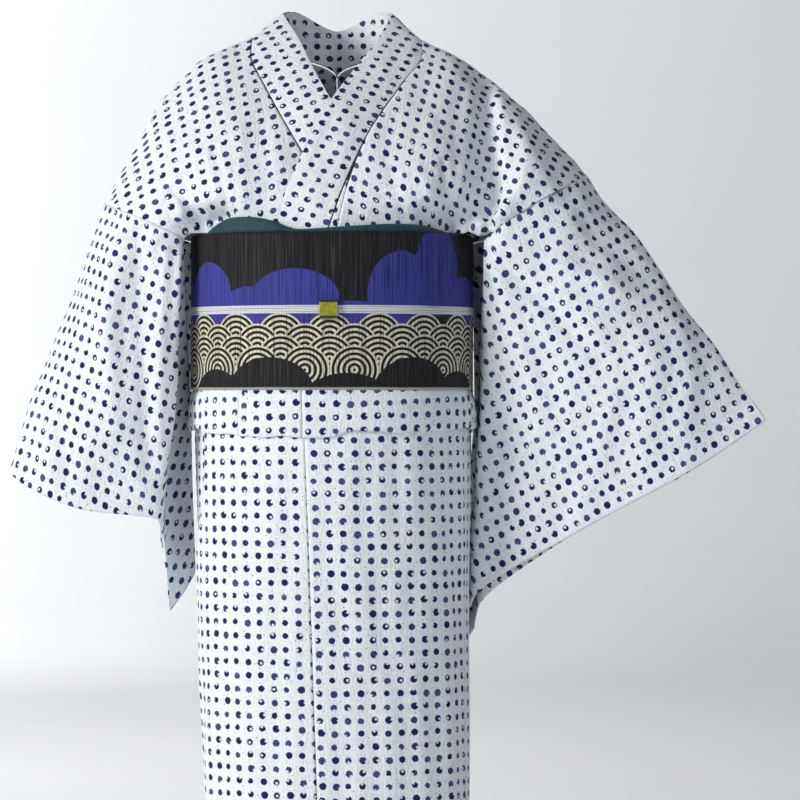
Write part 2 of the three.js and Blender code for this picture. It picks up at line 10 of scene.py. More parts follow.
import logging
import math
from collections.abc import Callable, Sequence
from dataclasses import dataclass, field
from enum import Enum

import bpy
import numpy as np
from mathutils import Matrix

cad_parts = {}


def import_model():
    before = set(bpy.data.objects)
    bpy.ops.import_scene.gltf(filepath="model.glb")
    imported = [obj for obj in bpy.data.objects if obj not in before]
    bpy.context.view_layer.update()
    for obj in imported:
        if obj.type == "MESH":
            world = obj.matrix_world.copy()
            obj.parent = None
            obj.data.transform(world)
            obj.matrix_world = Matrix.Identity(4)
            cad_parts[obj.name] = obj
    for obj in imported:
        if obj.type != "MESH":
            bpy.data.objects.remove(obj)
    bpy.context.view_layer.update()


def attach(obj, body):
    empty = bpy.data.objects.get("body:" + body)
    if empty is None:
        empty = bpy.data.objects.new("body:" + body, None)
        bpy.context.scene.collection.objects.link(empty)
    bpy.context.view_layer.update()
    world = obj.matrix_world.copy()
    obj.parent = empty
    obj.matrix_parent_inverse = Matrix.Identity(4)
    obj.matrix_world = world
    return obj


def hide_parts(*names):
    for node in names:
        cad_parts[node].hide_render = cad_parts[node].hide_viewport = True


log = logging.getLogger("kimono")

Array = np.ndarray
Surface = Callable[[Array, Array], Array]
Line = Sequence[tuple[float, float]]
Socket = bpy.types.NodeSocket

MM = 0.001
PHOTO_SIDE = 800
PHOTO_SCALE = 1.05  # mm of the object's middle plane to one pixel of the photograph
CAMERA = (70.35, -3600.0, -359.1)
SENSOR = 36.0

DOT_PITCH = 13.5  # mm between the cotton's dots
CLOTH_SHELL = 0.9  # thickness of the drawn cotton, the CAD's wall holding it with its slack
SEAM = 0.4  # gap at the overlap's seams
WRAP = 3.6  # how far the left front lies outside the right one
OVAL = 2.2  # exponent of the body's sections, 2 being an ellipse
HEM = -1300.0
SKIRT_TOP = -352.0
BELT_TOP = -189.0
BELT_FOOT = -348.0
BELT_CLEAR = 3.1
BELT_WALL = 3.0
SCARF_WALL = 2.0
SCARF_CLEAR = 0.3
SCARF_FOOT = -206.0
TUCKED = -174.0  # level below which the bodice lies flat under the scarf and the belt
CORD_MIDDLE = -267.0
CORD_HEIGHT = 8.4
CORD_WALL = 3.0
DRUM_HALF_WIDTH = 150.0
RIGHT_ANGLE = 90.0

BODY = np.array([  # level, centre, half width, depth to the front, depth to the back
    (-150, -1, 140, 118, 111),
    (-345, -1, 140, 118, 112),
    (-380, 0, 141.2, 117, 113),
    (-400, 0.5, 143.5, 116.5, 114),
    (-576, 1.7, 140.3, 98, 118),
    (-777, 6, 136.5, 81, 114),
    (-1000, 8, 130, 75, 107),
    (-1300, 8, 122, 78, 102),
], dtype=float)

# Bodice rows from the belt over the shoulder to the belt behind, each from the collar out to the sleeve seam
LEFT_BODICE = np.array([
    [(6, -117.2, -187), (79, -98.4, -187), (123, -61.5, -187), (143, -64, -187), (157, -62, -194)],
    [(9, -116.6, -172), (80, -98.8, -174), (128, -63, -177), (152, -72, -181), (165, -72, -188)],
    [(17, -110, -140), (94, -112, -146), (162, -66, -152), (177, -84, -166), (181, -80, -175)],
    [(38, -90, -86), (104, -98, -108), (166, -62, -115), (196, -84, -136), (209, -80, -157)],
    [(72, -52, -33), (118, -66, -62), (162, -46, -70), (204, -66, -100), (240, -66, -140)],
    [(94, -18, 1), (130, -28, -16), (158, -20, -32), (204, -38, -72), (257, -45, -129)],
    [(91, 10, 21), (125, 6, 3), (153, 3, -12.6), (201, -8, -55), (264, -20, -123)],
    [(58, 52, 6), (118, 42, -14), (158, 36, -36), (204, 24, -74), (262, 14, -128)],
    [(3.2, 76, -16), (104, 78, -62), (160, 62, -84), (200, 46, -112), (246, 38, -142)],
    [(3.2, 98, -80), (96, 98, -118), (152, 72, -134), (182, 60, -148), (214, 54, -164)],
    [(3.2, 108, -140), (86, 102, -152), (134, 70, -166), (158, 62, -176), (178, 58, -184)],
    [(3.2, 110, -187), (80, 96, -187), (120, 60, -187), (138, 54, -187), (147.5, 42, -193)],
], dtype=float)
RIGHT_BODICE = np.array([
    [(12, -112, -187), (-80, -98, -187), (-122, -61, -187), (-143, -62, -187), (-153, -62, -193)],
    [(4, -108, -165), (-81, -98.2, -170), (-123, -62, -174), (-148, -68, -180), (-160, -70, -188)],
    [(-18, -98, -126), (-95, -104, -142), (-142, -84, -155), (-160, -80, -164), (-178, -74, -180)],
    [(-45, -78, -80), (-104, -88, -104), (-145, -80, -118), (-172, -74, -137), (-205, -66, -168)],
    [(-68, -50, -38), (-112, -62, -58), (-150, -54, -76), (-183, -52, -108), (-225, -42, -160)],
    [(-86, -18, 2), (-118, -28, -17), (-152, -26, -38), (-186, -26, -80), (-234, -28, -156)],
    [(-85, 10, 23), (-120, 6, 8), (-151, 3, -12.6), (-186, -2, -56), (-239, -10, -154)],
    [(-52, 52, 8), (-116, 42, -6), (-152, 36, -30), (-187, 26, -78), (-237, 16, -157)],
    [(2.4, 76, -16), (-100, 78, -60), (-150, 62, -84), (-182, 48, -118), (-226, 36, -163)],
    [(2.4, 98, -80), (-94, 98, -116), (-146, 72, -132), (-168, 62, -150), (-204, 52, -171)],
    [(2.4, 108, -140), (-84, 102, -152), (-134, 70, -166), (-152, 62, -174), (-176, 58, -183)],
    [(2.4, 110, -187), (-80, 96, -187), (-120, 60, -187), (-139, 54, -187), (-149.5, 42, -192)],
], dtype=float)
SHOULDER_ROW = 6
NAPE_ROW = 8
LAST_ROW = 11

# The collar's free edge at the bodice rows, with how far its sewn edge is drawn in
LEFT_COLLAR = np.array([
    (0, -56, -109.6, -187, 9), (1, -50, -110.4, -163, 7), (2, -44, -110, -141, 3.4), (3, -8.5, -87, -64, 0),
    (4, 22, -48, -17, 0), (5, 46, -18, 17, 0), (6, 63, 12, 49, 0),
], dtype=float)
RIGHT_COLLAR = np.array([
    (2, 32, -91, -104, 0), (3, 4, -75.5, -57, 0), (4, -19, -45, -15, 0), (5, -36, -18, 20, 0), (6, -54, 12, 49, 0),
], dtype=float)
BACK_COLLAR = np.array([
    (-2, 63, 12, 49), (-1, 50, 60, 54), (0, 3, 92, 37), (1, -43, 60, 55), (2, -54, 12, 49),
], dtype=float)
CROWN = 2.5

# Round each sleeve: bottom, low back, wrap, middle and arm of the back layer, top, the same down the front layer
LOOP = np.array([0, 0.5, 1, 4 / 3, 5 / 3, 2, 7 / 3, 8 / 3, 3, 3.5, 4])
LEFT_SHARES = (0.0, 0.33, 0.67, 1.0)
LEFT_FIRST = np.array([(139, 88, -500), (150, 60, -352), (153, 26, -352)], dtype=float)
LEFT_SLEEVE = np.array([
    [(138, 105, -560), (157, 64, -455), (168, 15, -326), (228, 18, -286), (285, 18, -240), (329, -33, -208),
     (276, -78, -243), (215, -64, -283), (158, -36, -320), (154, 38, -448)],
    [(134, 118, -605), (152, 70, -532), (161, 4, -452), (253, -18, -386), (340, -14, -330), (390, -47, -295),
     (332, -76, -333), (245, -52, -385), (153, -14, -445), (143, 50, -524)],
    [(127, 112, -630), (148, 74, -608), (154, 20, -577), (268, -14, -489), (375, -34, -427), (449, -60, -380),
     (372.5, -62, -431.6), (262, -34, -493), (148, 4, -566), (138, 62, -600)],
], dtype=float)
RIGHT_SHARES = (0.0, 0.14, 0.45, 0.75, 1.0)
RIGHT_FIRST = np.array([(-148, 50, -545), (-152, 58, -400), (-150.5, 30, -390)], dtype=float)
RIGHT_SLEEVE = np.array([
    [(-172, 4, -581), (-168, 50, -450), (-172, 80, -260), (-210, 62, -215), (-246, 28, -202), (-253, -11, -193),
     (-234, -48, -204), (-205, -70, -215), (-157, -68, -225), (-180, -12, -425)],
    [(-171, 60, -570), (-181, 100, -520), (-200, 108, -380), (-240, 78, -325), (-276, 28, -290), (-284, -15, -280),
     (-264, -55, -292), (-217, -74, -316), (-160, -63, -338), (-184, 28, -478)],
    [(-150, 118, -546), (-176, 146, -535), (-208, 126, -440), (-257, 86, -400), (-303, 25, -366), (-314, -20, -357),
     (-292, -58, -374), (-242, -70, -402), (-170, -58, -425), (-182, 62, -515)],
    [(-130, 152, -548), (-170, 154, -528), (-212, 130, -474), (-272, 86, -466), (-326, 20, -442), (-337, -25, -434),
     (-314, -50, -450), (-259, -60, -472), (-179, -52, -485), (-174, 84, -536)],
], dtype=float)

SKIRT_LINES = np.array([  # level, angle of the overlap's seam, angle of its free edge
    (-352, -99.5, -151), (-460, -98.5, -155), (-505, -98, -165), (-576, -97.5, -179), (-777, -97, -185),
    (-1300, -95, -190),
], dtype=float)
LEFT_SIDE = -17.0  # angles of the two side seams
RIGHT_SIDE = -196.0
UNDER_OVERLAP = -74.0  # angles of the hidden overlap's seam and of its free edge
UNDER_EDGE = -40.0
WRAP_TURN = 20.0  # degrees over which the left front rises over the right one
MEAN_RADIUS = 130.0
GAP_TURN = math.degrees(SEAM / 8 / MEAN_RADIUS)  # from a seam's line to the edge of each panel

TUCK = np.array([  # distance out of the body's form, level
    (4, -348.6), (7.4, -354), (9.2, -366), (9.6, -380), (9.4, -391), (7.5, -396), (5.2, -391), (5.2, -372),
], dtype=float)
TUCK_LINES = (LEFT_SIDE, -99.5, -127.0, -176.0)
TUCK_LIFT = np.array([  # angle, how far the bottom is drawn up there
    (-176, 5.8), (-158, 5.6), (-129, 1.8), (-99.5, 0.0), (-83.6, 3.6), (-50, 6), (-18, 8.4), (30, 6), (90, 3.5),
    (150, 4), (184, 5.8),
], dtype=float)

SCARF = np.array([  # angle round the front, level of the upper edge
    (-28, -190.6), (-48, -182), (-62, -180.5), (-84, -183), (-101, -185.5), (-113, -176), (-124, -172.6),
    (-133, -173), (-142, -178.5), (-150, -186), (-155, -190.6),
], dtype=float)

DRUM = np.array([  # distance back, level
    (118.6, -225), (118.6, -142), (130, -119), (158, -111), (182, -121), (194, -150), (199, -230), (200, -320),
    (196, -370), (184, -391), (166, -395), (149, -386), (141.4, -366), (141, -300),
], dtype=float)
DRUM_FIGURES = -400.0  # level of the figures' foot on the drum
TAIL = {"y": 139.1, "top": -306.0, "foot": -467.0, "half": DRUM_HALF_WIDTH - 2}
HAND = {"y": 143.3, "top": -206.0, "foot": -346.0, "right": -144.0, "left": 140.0}

CORD_THROUGH = np.array([  # angle round the body, distance from its middle across and back
    (24, 145.5, 84), (30, 151.6, 122), (36, 153, 142), (42, 147, 147), (54, 100, 145.6), (72, 50, 145.4),
    (90, 0, 145.4),
], dtype=float)
CORD_LEAVES = 18.0
CORD_DROP = 34.0
CORD_DROP_TURNS = (-10.0, 28.0)

SLIDE_WIDTH = 18.3
SLIDE_RIGHT = -11.2
SLIDE_HEIGHT = 19.2
SLIDE_DEPTH = 7.6
SLIDE_CLEAR = 0.4


class Slot(Enum):
    """The record's material slots."""

    COTTON = "cotton"
    BELT = "belt_silk"
    SCARF = "scarf_silk"
    CORD = "cord_silk"
    GLASS = "slide_glass"


# Forms


def ease(t: Array) -> Array:
    """A step from 0 to 1 with a level start and end: 3t^2 - 2t^3 of t held between 0 and 1.

    Args:
        t: Where on the step, 0 at its start and 1 at its end.

    Returns:
        The height of the step.
    """
    t = np.clip(t, 0.0, 1.0)
    return t * t * (3 - 2 * t)


def through(knots: Array, values: Array, at: Array) -> Array:
    """A smooth curve through values at rising knots that never swings past them.

    Each stretch is a cubic between two values. Its slope at a value is the mean of the slopes on both sides, at most
    three times either, and 0 where the curve turns back. Beyond the ends it goes straight on.

    Args:
        knots: The k rising places of the values.
        values: The values, (k, c), or (k, n, c) where each of the n points has values of its own.
        at: The n places that are asked for.

    Returns:
        The values there, (n, c).
    """
    knots = np.asarray(knots, dtype=float)
    values = np.asarray(values, dtype=float)
    at = np.asarray(at, dtype=float)
    if values.ndim == 2:
        values = values[:, None, :]
    values = np.broadcast_to(values, (len(knots), len(at), values.shape[2]))
    mean = np.diff(values, axis=0) / np.diff(knots)[:, None, None]
    before, after = mean[:-1], mean[1:]
    limit = 3 * np.minimum(np.abs(before), np.abs(after))
    inner = np.where(before * after > 0, np.sign(after) * np.minimum(np.abs(before + after) / 2, limit), 0.0)
    slopes = np.concatenate([mean[:1], inner, mean[-1:]])
    low = np.searchsorted(knots[1:-1], at, side="left")
    each = np.arange(len(at))
    width = knots[low + 1] - knots[low]
    t = np.clip((at - knots[low]) / width, 0.0, 1.0)
    beyond = (at - (knots[low] + t * width))[:, None]
    t, width = t[:, None], width[:, None]
    cubic = (
        (2 * t**3 - 3 * t**2 + 1) * values[low, each]
        + (t**3 - 2 * t**2 + t) * width * slopes[low, each]
        + (3 * t**2 - 2 * t**3) * values[low + 1, each]
        + (t**3 - t**2) * width * slopes[low + 1, each]
    )
    return cubic + beyond * np.where(beyond < 0, slopes[low, each], slopes[low + 1, each])


def on_body(angle: Array, level: Array, lift: Array | float) -> Array:
    """Points of the body's form, whose sections are ovals a little squarer than an ellipse.

    At an angle a the point is centre + half * cos(a)^(2/2.2) across and depth * sin(a)^(2/2.2) to the back, with the
    signs kept, and it is moved out along the section's normal by the lift.

    Args:
        angle: Degrees round the body: 0 is the left side, -90 the front.
        level: Heights.
        lift: How far out of the form.

    Returns:
        The points, (n, 3).
    """
    angle, level, lift = np.broadcast_arrays(np.asarray(angle, float), np.asarray(level, float), lift)
    centre, half, front, back = through(-BODY[:, 0], BODY[:, 1:], -level.ravel()).T.reshape(4, *level.shape)
    cosine, sine = np.cos(np.radians(angle)), np.sin(np.radians(angle))
    depth = np.where(sine < 0, front, back)
    over = np.sign(cosine) * np.abs(cosine) ** (2 / OVAL)
    deep = np.sign(sine) * np.abs(sine) ** (2 / OVAL)
    out = np.stack([np.sign(cosine) * np.abs(over) ** (OVAL - 1) / half,
                    np.sign(sine) * np.abs(deep) ** (OVAL - 1) / depth], axis=-1)
    out /= np.linalg.norm(out, axis=-1, keepdims=True)
    flat = np.stack([centre + half * over, depth * deep], axis=-1) + out * lift[..., None]
    return np.concatenate([flat, level[..., None]], axis=-1)


def bodice_point(rows: Array, u: Array, v: Array) -> Array:
    """Points of a bodice: curves along its five columns are crossed by curves from the collar to the sleeve seam.

    Args:
        rows: The bodice's table.
        u: Column, 0 at the collar and 4 at the sleeve seam.
        v: Row, 0 at the belt in front.

    Returns:
        The points, (n, 3).
    """
    u, v = np.broadcast_arrays(np.asarray(u, float), np.asarray(v, float))
    shape = u.shape
    u, v = u.ravel(), v.ravel()
    crossing = np.stack([through(np.arange(LAST_ROW + 1), rows[:, c], v) for c in range(rows.shape[1])])
    return through(np.arange(rows.shape[1]), crossing, u).reshape(*shape, 3)


@dataclass(frozen=True)
class Bag:
    """A sleeve: a flat bag that hangs from the arm, open at the cuff and at the body.

    Attributes:
        bodice: The table of the bodice that it is sewn to.
        first: Bottom, low back and low front of its body side.
        rows: Its tables from there to the cuff.
        shares: Where the rows are, 0 at the body and 1 at the cuff.
    """

    bodice: Array
    first: Array
    rows: Array
    shares: tuple[float, ...]

    def body_side(self, turn: Array) -> Array:
        """The loop that is sewn to the bodice and hangs free below: the bodice's own seam line on its upper half.

        Args:
            turn: Where round the loop, 0 at the bottom, 2 at the shoulder.

        Returns:
            The points, (n, 3).
        """
        bottom, back_low, front_low = self.first
        low_back = through(np.array([0, 0.5, 1, 4]), np.stack([bottom, back_low, self.bodice[-1, 4], bottom]), turn)
        low_front = through(np.array([3, 3.5, 4]), np.stack([self.bodice[0, 4], front_low, bottom]), turn)
        back = bodice_point(self.bodice, 4.0, LAST_ROW - (turn - 1) * (LAST_ROW - SHOULDER_ROW))
        front = bodice_point(self.bodice, 4.0, SHOULDER_ROW * (3 - turn))
        which = np.digitize(turn, [1.0, 2.0, 3.0])[:, None]
        return np.choose(which, [low_back, back, front, low_front])

    def point(self, u: Array, v: Array) -> Array:
        """Points of the bag: the loops at its rows are joined by curves from the body to the cuff.

        Args:
            u: Where round the loop, 0 to 4.
            v: Share of the way to the cuff.

        Returns:
            The points, with the shape of u and v.
        """
        u, v = np.broadcast_arrays(np.asarray(u, float), np.asarray(v, float))
        shape = u.shape
        turn, v = np.mod(u.ravel(), 4.0), v.ravel()
        loops = [self.body_side(turn)]
        loops += [through(LOOP, np.concatenate([row, row[:1]]), turn) for row in self.rows]
        return through(np.array(self.shares), np.stack(loops), v).reshape(*shape, 3)


@dataclass(frozen=True)
class Fold:
    """A crease, drawn where the photograph shows it.

    Attributes:
        line: Points of its course, in pixels of the photograph.
        width: Half width in pixels at which it has faded to a third.
        height: Millimetres that its middle stands out, or in where it is negative.
    """

    line: Line
    width: float
    height: float


@dataclass(frozen=True)
class Slack:
    """Shallow waves of cloth that hangs free: a seeded sum of long waves that run mostly one way.

    Attributes:
        seed: Chooses the waves.
        height: Millimetres of the largest rise.
        along: Length in mm of the waves along the thread, and across it.
        across: The same across the thread.
        waves: How many there are.
        slant: How much they turn off the thread, in radians.
        widths: Narrowest and widest of them, as shares of their length across.
        runs: The same for their length along.
        swing: How far each one sways as it runs, in radians of its own wave.
    """

    seed: int
    height: float
    along: float = 260.0
    across: float = 46.0
    waves: int = 7
    slant: float = 0.16
    widths: tuple[float, float] = (0.55, 1.7)
    runs: tuple[float, float] = (0.6, 1.6)
    swing: float = 1.3

    def relief(self, places: Array) -> Array:
        """Heights of the waves.

        Args:
            places: Points of the unrolled cloth, in mm.

        Returns:
            The heights there.
        """
        chance = np.random.default_rng(self.seed)
        total = np.zeros(places.shape[:-1])
        for _ in range(self.waves):
            turn = chance.normal(0, self.slant)
            wave = self.across * chance.uniform(*self.widths)
            run = self.along * chance.uniform(*self.runs)
            a = places[..., 0] * math.cos(turn) + places[..., 1] * math.sin(turn)
            b = places[..., 1] * math.cos(turn) - places[..., 0] * math.sin(turn)
            start, sway = chance.uniform(0, 2 * math.pi, 2)
            total += np.sin(2 * math.pi * a / wave + start + self.swing * np.sin(2 * math.pi * b / run + sway))
        return self.height * total / math.sqrt(self.waves)


def pixels(points: Array) -> Array:
    """Where the camera sees points, in pixels of the photograph: the place across over the distance.

    Args:
        points: Points in mm, (..., 3).

    Returns:
        Pixels across and down, (..., 2).
    """
    scale = PHOTO_SCALE * (points[..., 1] - CAMERA[1]) / -CAMERA[1]
    middle = PHOTO_SIDE / 2
    across = middle + (points[..., 0] - CAMERA[0]) / scale
    return np.stack([across, middle - (points[..., 2] - CAMERA[2]) / scale], axis=-1)


def from_line(places: Array, line: Line) -> Array:
    """Distances to the nearest point of a line of straight stretches.

    Args:
        places: Points, (..., 2).
        line: The line's corners.

    Returns:
        The distances.
    """
    corners = np.asarray(line, dtype=float)
    nearest = np.full(places.shape[:-1], np.inf)
    for start, end in zip(corners[:-1], corners[1:]):
        run = end - start
        t = np.clip(((places - start) @ run) / (run @ run), 0.0, 1.0)
        nearest = np.minimum(nearest, np.linalg.norm(places - start - t[..., None] * run, axis=-1))
    return nearest


def unrolled(grid: Array, spine: int) -> Array:
    """The cloth laid flat in the front plane: each step keeps its direction seen from the front and its true length.

    A step that runs almost straight away from the front is drawn out 4 times at most.

    Args:
        grid: Points, (rows, columns, 3).
        spine: The column that the rows are laid out from.

    Returns:
        Places in mm across and up, (rows, columns, 2).
    """

    def flat(steps: Array) -> Array:
        """Steps in the front plane with the length that they have in space."""
        seen = np.hypot(steps[..., 0], steps[..., 2])
        real = np.linalg.norm(steps, axis=-1)
        return steps[..., [0, 2]] * (real / np.maximum(seen, 0.25 * real + 1e-9))[..., None]

    rows = np.cumsum(flat(np.diff(grid, axis=1)), axis=1)
    rows = np.concatenate([np.zeros_like(rows[:, :1]), rows], axis=1)
    down = np.cumsum(flat(np.diff(grid[:, spine], axis=0)), axis=0)
    down = np.concatenate([np.zeros((1, 2)), down]) + grid[0, spine][[0, 2]]
    return down[:, None] + rows - rows[:, spine : spine + 1]


def facing(grid: Array, closed: bool) -> Array:
    """Unit normals of a grid: the steps along its columns crossed with the steps along its rows.

    Args:
        grid: Points, (rows, columns, 3).
        closed: Whether the last column joins the first.

    Returns:
        The normals.
    """
    if closed:
        wide = np.concatenate([grid[:, -1:], grid, grid[:, :1]], axis=1)
        du = wide[:, 2:] - wide[:, :-2]
    else:
        du = np.gradient(grid, axis=1)
    normal = np.cross(du, np.gradient(grid, axis=0))
    return normal / np.maximum(np.linalg.norm(normal, axis=-1, keepdims=True), 1e-9)


def along_edges(grid: Array, closed: bool) -> Array:
    """How far each point is from the nearest edge of its piece, measured on the cloth.

    Args:
        grid: Points, (rows, columns, 3).
        closed: Whether the piece has no side edges.

    Returns:
        Distances in mm.
    """
    rows = np.linalg.norm(np.diff(grid, axis=0), axis=-1)
    down = np.concatenate([np.zeros_like(rows[:1]), np.cumsum(rows, axis=0)])
    nearest = np.minimum(down, down[-1:] - down)
    if not closed:
        columns = np.linalg.norm(np.diff(grid, axis=1), axis=-1)
        over = np.concatenate([np.zeros_like(columns[:, :1]), np.cumsum(columns, axis=1)], axis=1)
        nearest = np.minimum(nearest, np.minimum(over, over[:, -1:] - over))
    return nearest


def new_piece(name: str, points: Array, quads: Array, corners: Array | None = None) -> bpy.types.Object:
    """A mesh object of four-sided faces, at the origin.

    Args:
        name: The object's name.
        points: Points in mm, (n, 3).
        quads: Point numbers of each face, (m, 4).
        corners: Pattern places in mm at the faces' corners, (m, 4, 2).

    Returns:
        The object.
    """
    mesh = bpy.data.meshes.new(name)
    mesh.vertices.add(len(points))
    mesh.vertices.foreach_set("co", (points * MM).astype(np.float32).ravel())
    mesh.loops.add(quads.size)
    mesh.loops.foreach_set("vertex_index", quads.astype(np.int32).ravel())
    mesh.polygons.add(len(quads))
    mesh.polygons.foreach_set("loop_start", np.arange(0, quads.size, 4, dtype=np.int32))
    mesh.polygons.foreach_set("use_smooth", np.ones(len(quads), dtype=bool))
    if corners is not None:
        layer = mesh.uv_layers.new(name="cloth")
        layer.data.foreach_set("uv", corners.astype(np.float32).ravel())
    mesh.update(calc_edges=True)
    mesh.validate()
    piece = bpy.data.objects.new(name, mesh)
    bpy.context.scene.collection.objects.link(piece)
    return piece


def grid_quads(rows: int, columns: int, closed: bool) -> tuple[Array, Array]:
    """Faces of a grid, as point numbers and as numbers in a grid whose first column is repeated at its end.

    Args:
        rows: Rows of points.
        columns: Columns of points.
        closed: Whether the last column joins the first.

    Returns:
        Point numbers (m, 4) and the numbers of the same corners in the wider grid (m, 4).
    """
    wide = columns if closed else columns - 1
    i, j = np.meshgrid(np.arange(rows - 1), np.arange(wide), indexing="ij")
    i, j = i.ravel(), j.ravel()
    corner_i = np.stack([i, i, i + 1, i + 1], axis=1)
    corner_j = np.stack([j, j + 1, j + 1, j], axis=1)
    return corner_i * columns + corner_j % columns, corner_i * (columns + 1) + corner_j


def shell(name: str, outer: Array, normal: Array, thickness: float, places: Array, closed: bool,
          outward: int) -> bpy.types.Object:
    """A closed wall: a grid of points, the same grid moved in by the thickness, and rims that join the two.

    Args:
        name: The object's name.
        outer: Points of the side that shows, (rows, columns, 3).
        normal: Outward unit normals there.
        thickness: Millimetres.
        places: Pattern places, (rows, columns + 1, 2), the last column used only where the grid is closed.
        closed: Whether the last column joins the first.
        outward: 1 where the grid's own normals point out, -1 where they point in.

    Returns:
        The object.
    """
    rows, columns = outer.shape[:2]
    inner = outer - normal * thickness
    quads, wide = grid_quads(rows, columns, closed)
    count = rows * columns
    layers = [quads, quads[:, ::-1] + count]
    flats = [wide, wide[:, ::-1]]
    j = np.arange(columns if closed else columns - 1)
    i = np.arange(rows - 1)
    rims = [(row, j + 1, row, j, turn) for row, turn in ((0, 1), (rows - 1, -1))]
    if not closed:
        rims += [(i, column, i + 1, column, turn) for column, turn in ((0, 1), (columns - 1, -1))]
    for row_a, column_a, row_b, column_b, turn in rims:
        a, b = row_a * columns + column_a % columns, row_b * columns + column_b
        layers.append(np.stack([a, b, b + count, a + count], axis=1)[:, ::turn])
        a, b = row_a * (columns + 1) + column_a, row_b * (columns + 1) + column_b
        flats.append(np.stack([a, b, b, a], axis=1)[:, ::turn])
    faces = np.concatenate(layers)
    corners = places.reshape(-1, 2)[np.concatenate(flats)]
    if outward < 0:
        faces, corners = faces[:, ::-1], corners[:, ::-1]
    return new_piece(name, np.concatenate([outer.reshape(-1, 3), inner.reshape(-1, 3)]), faces, corners)


@dataclass(frozen=True)
class Thread:
    """How the cloth's thread runs on a piece, which its rows of dots follow.

    Attributes:
        along: One step of the pattern along the thread, in pixels of the photograph, across and down.
        across: One step across the thread.
        start: Where the pattern starts, in steps.
    """

    along: tuple[float, float] = (0.3, 13.1)
    across: tuple[float, float] = (13.2, 0.0)
    start: tuple[float, float] = (0.0, 0.0)

    def places(self, flat: Array) -> Array:
        """Pattern places in mm: the unrolled cloth counted in steps across and along the thread.

        Args:
            flat: The unrolled cloth, mm across and up.

        Returns:
            Pattern places in mm, across and along.
        """
        steps = np.linalg.inv(np.array([self.across, self.along]).T)
        seen = np.stack([flat[..., 0], -flat[..., 1]], axis=-1) / PHOTO_SCALE
        return (seen @ steps.T + np.array(self.start)) * DOT_PITCH


@dataclass
class Cloth:
    """One sewn piece of cloth: a shell on the surface of its CAD solid.

    Attributes:
        node: The CAD node that it stands for.
        surface: Its outer side as a function of two parameters.
        across: Values of the first parameter.
        along: Values of the second.
        outward: 1 where the surface's own normals point out of the garment.
        cut: Width and length of its flat cut in metres, as far as it shows; not used.
        rests: What it lies on or hangs from; not used.
        thread: How its thread runs.
        folds: Creases that the photograph shows.
        slack: Its shallow waves.
        closed: Whether it goes all round.
        spine: Column from which it is laid flat.
        fade: Millimetres from its edges over which the waves rise.
        least: Deepest relief, where another piece lies under it.
        most: Highest relief, where another piece lies over it.
        thickness: Thickness of the shell.
        held: How the cloth is held; not used.
        slot: Its material slot.
        seam: Depth of the dip along its edges.
        fold_edge: Whether the first column is a sharp fold.
        area: The cut's area in square metres where it isn't a rectangle; not used.
        tucked: Level in mm below which it lies flat, because another piece is tied over it.
        edge_share: Share of the thickness that is left at its very edge, less than 1 where it is sewn under.
        room: How far it may stand out at the level where it is tucked, and how much more for each mm above it.
        seam_reach: Width in mm of the dip along its edges.
        edge_reach: Millimetres from its edges over which it gains its full thickness.
    """

    node: str
    surface: Surface
    across: Array
    along: Array
    outward: int
    cut: tuple[float, float]
    rests: tuple[str, ...]
    thread: Thread = Thread()
    folds: tuple[Fold, ...] = ()
    slack: Slack | None = None
    closed: bool = False
    spine: int = 0
    fade: float = 22.0
    least: float = -12.0
    most: float = 12.0
    thickness: float = CLOTH_SHELL
    held: str = "draped"
    slot: Slot = Slot.COTTON
    seam: float = 0.28
    fold_edge: bool = False
    area: float | None = None
    tucked: float = -1e4
    edge_share: float = 1.0
    room: tuple[float, float] = (0.2, 0.35)
    seam_reach: float = 1.6
    edge_reach: float = 3.0

    def make(self, finish: bpy.types.Material) -> bpy.types.Object:
        """Builds the shell: the surface plus its creases and waves along the normal, with its pattern laid on it.

        Args:
            finish: Its material.

        Returns:
            The object.
        """
        u, v = np.meshgrid(self.across, self.along)
        grid = self.surface(u, v)
        normal = facing(grid, self.closed) * self.outward
        wide = np.concatenate([grid, grid[:, :1]], axis=1)
        flat = unrolled(wide, self.spine)
        edge = along_edges(grid, self.closed)
        relief = np.zeros(grid.shape[:2])
        front = np.clip(-1.6 * normal[..., 1], 0.0, 1.0)
        seen = pixels(grid)
        for fold in self.folds:
            relief += fold.height * front * np.exp(-((from_line(seen, fold.line) / fold.width) ** 2))
        if self.slack:
            relief += self.slack.relief(flat[:, :-1]) * ease(edge / self.fade)
        under = self.room[0] + self.room[1] * np.maximum(0.0, grid[..., 2] - self.tucked)
        relief = np.clip(relief, self.least, np.minimum(self.most, under))
        relief -= self.seam * np.exp(-((edge / self.seam_reach) ** 2))
        outer = grid + normal * relief[..., None]
        normal = facing(outer, self.closed) * self.outward
        if self.fold_edge:
            middle = outer[:, 1] + outer[:, -1] - 2 * outer[:, 0]
            normal[:, 0] = -middle / np.maximum(np.linalg.norm(middle, axis=-1, keepdims=True), 1e-9)
        wall = self.edge_share + (1 - self.edge_share) * ease(edge / self.edge_reach)
        piece = shell("cloth_" + self.node, outer, normal * wall[..., None], self.thickness, self.thread.places(flat),
                      self.closed, self.outward)
        piece.data.materials.append(finish)
        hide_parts(self.node)
        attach(piece, "root")
        return piece


# Finishes


def linear(code: str) -> tuple[float, float, float, float]:
    """An sRGB hex colour as linear light: each part c becomes ((c + 0.055) / 1.055)^2.4, or c / 12.92 when dark.

    Args:
        code: Such as "#1e2d64".

    Returns:
        Red, green, blue and full alpha.
    """
    parts = [int(code[i : i + 2], 16) / 255 for i in (1, 3, 5)]
    light = [c / 12.92 if c <= 0.04045 else ((c + 0.055) / 1.055) ** 2.4 for c in parts]
    return (light[0], light[1], light[2], 1.0)


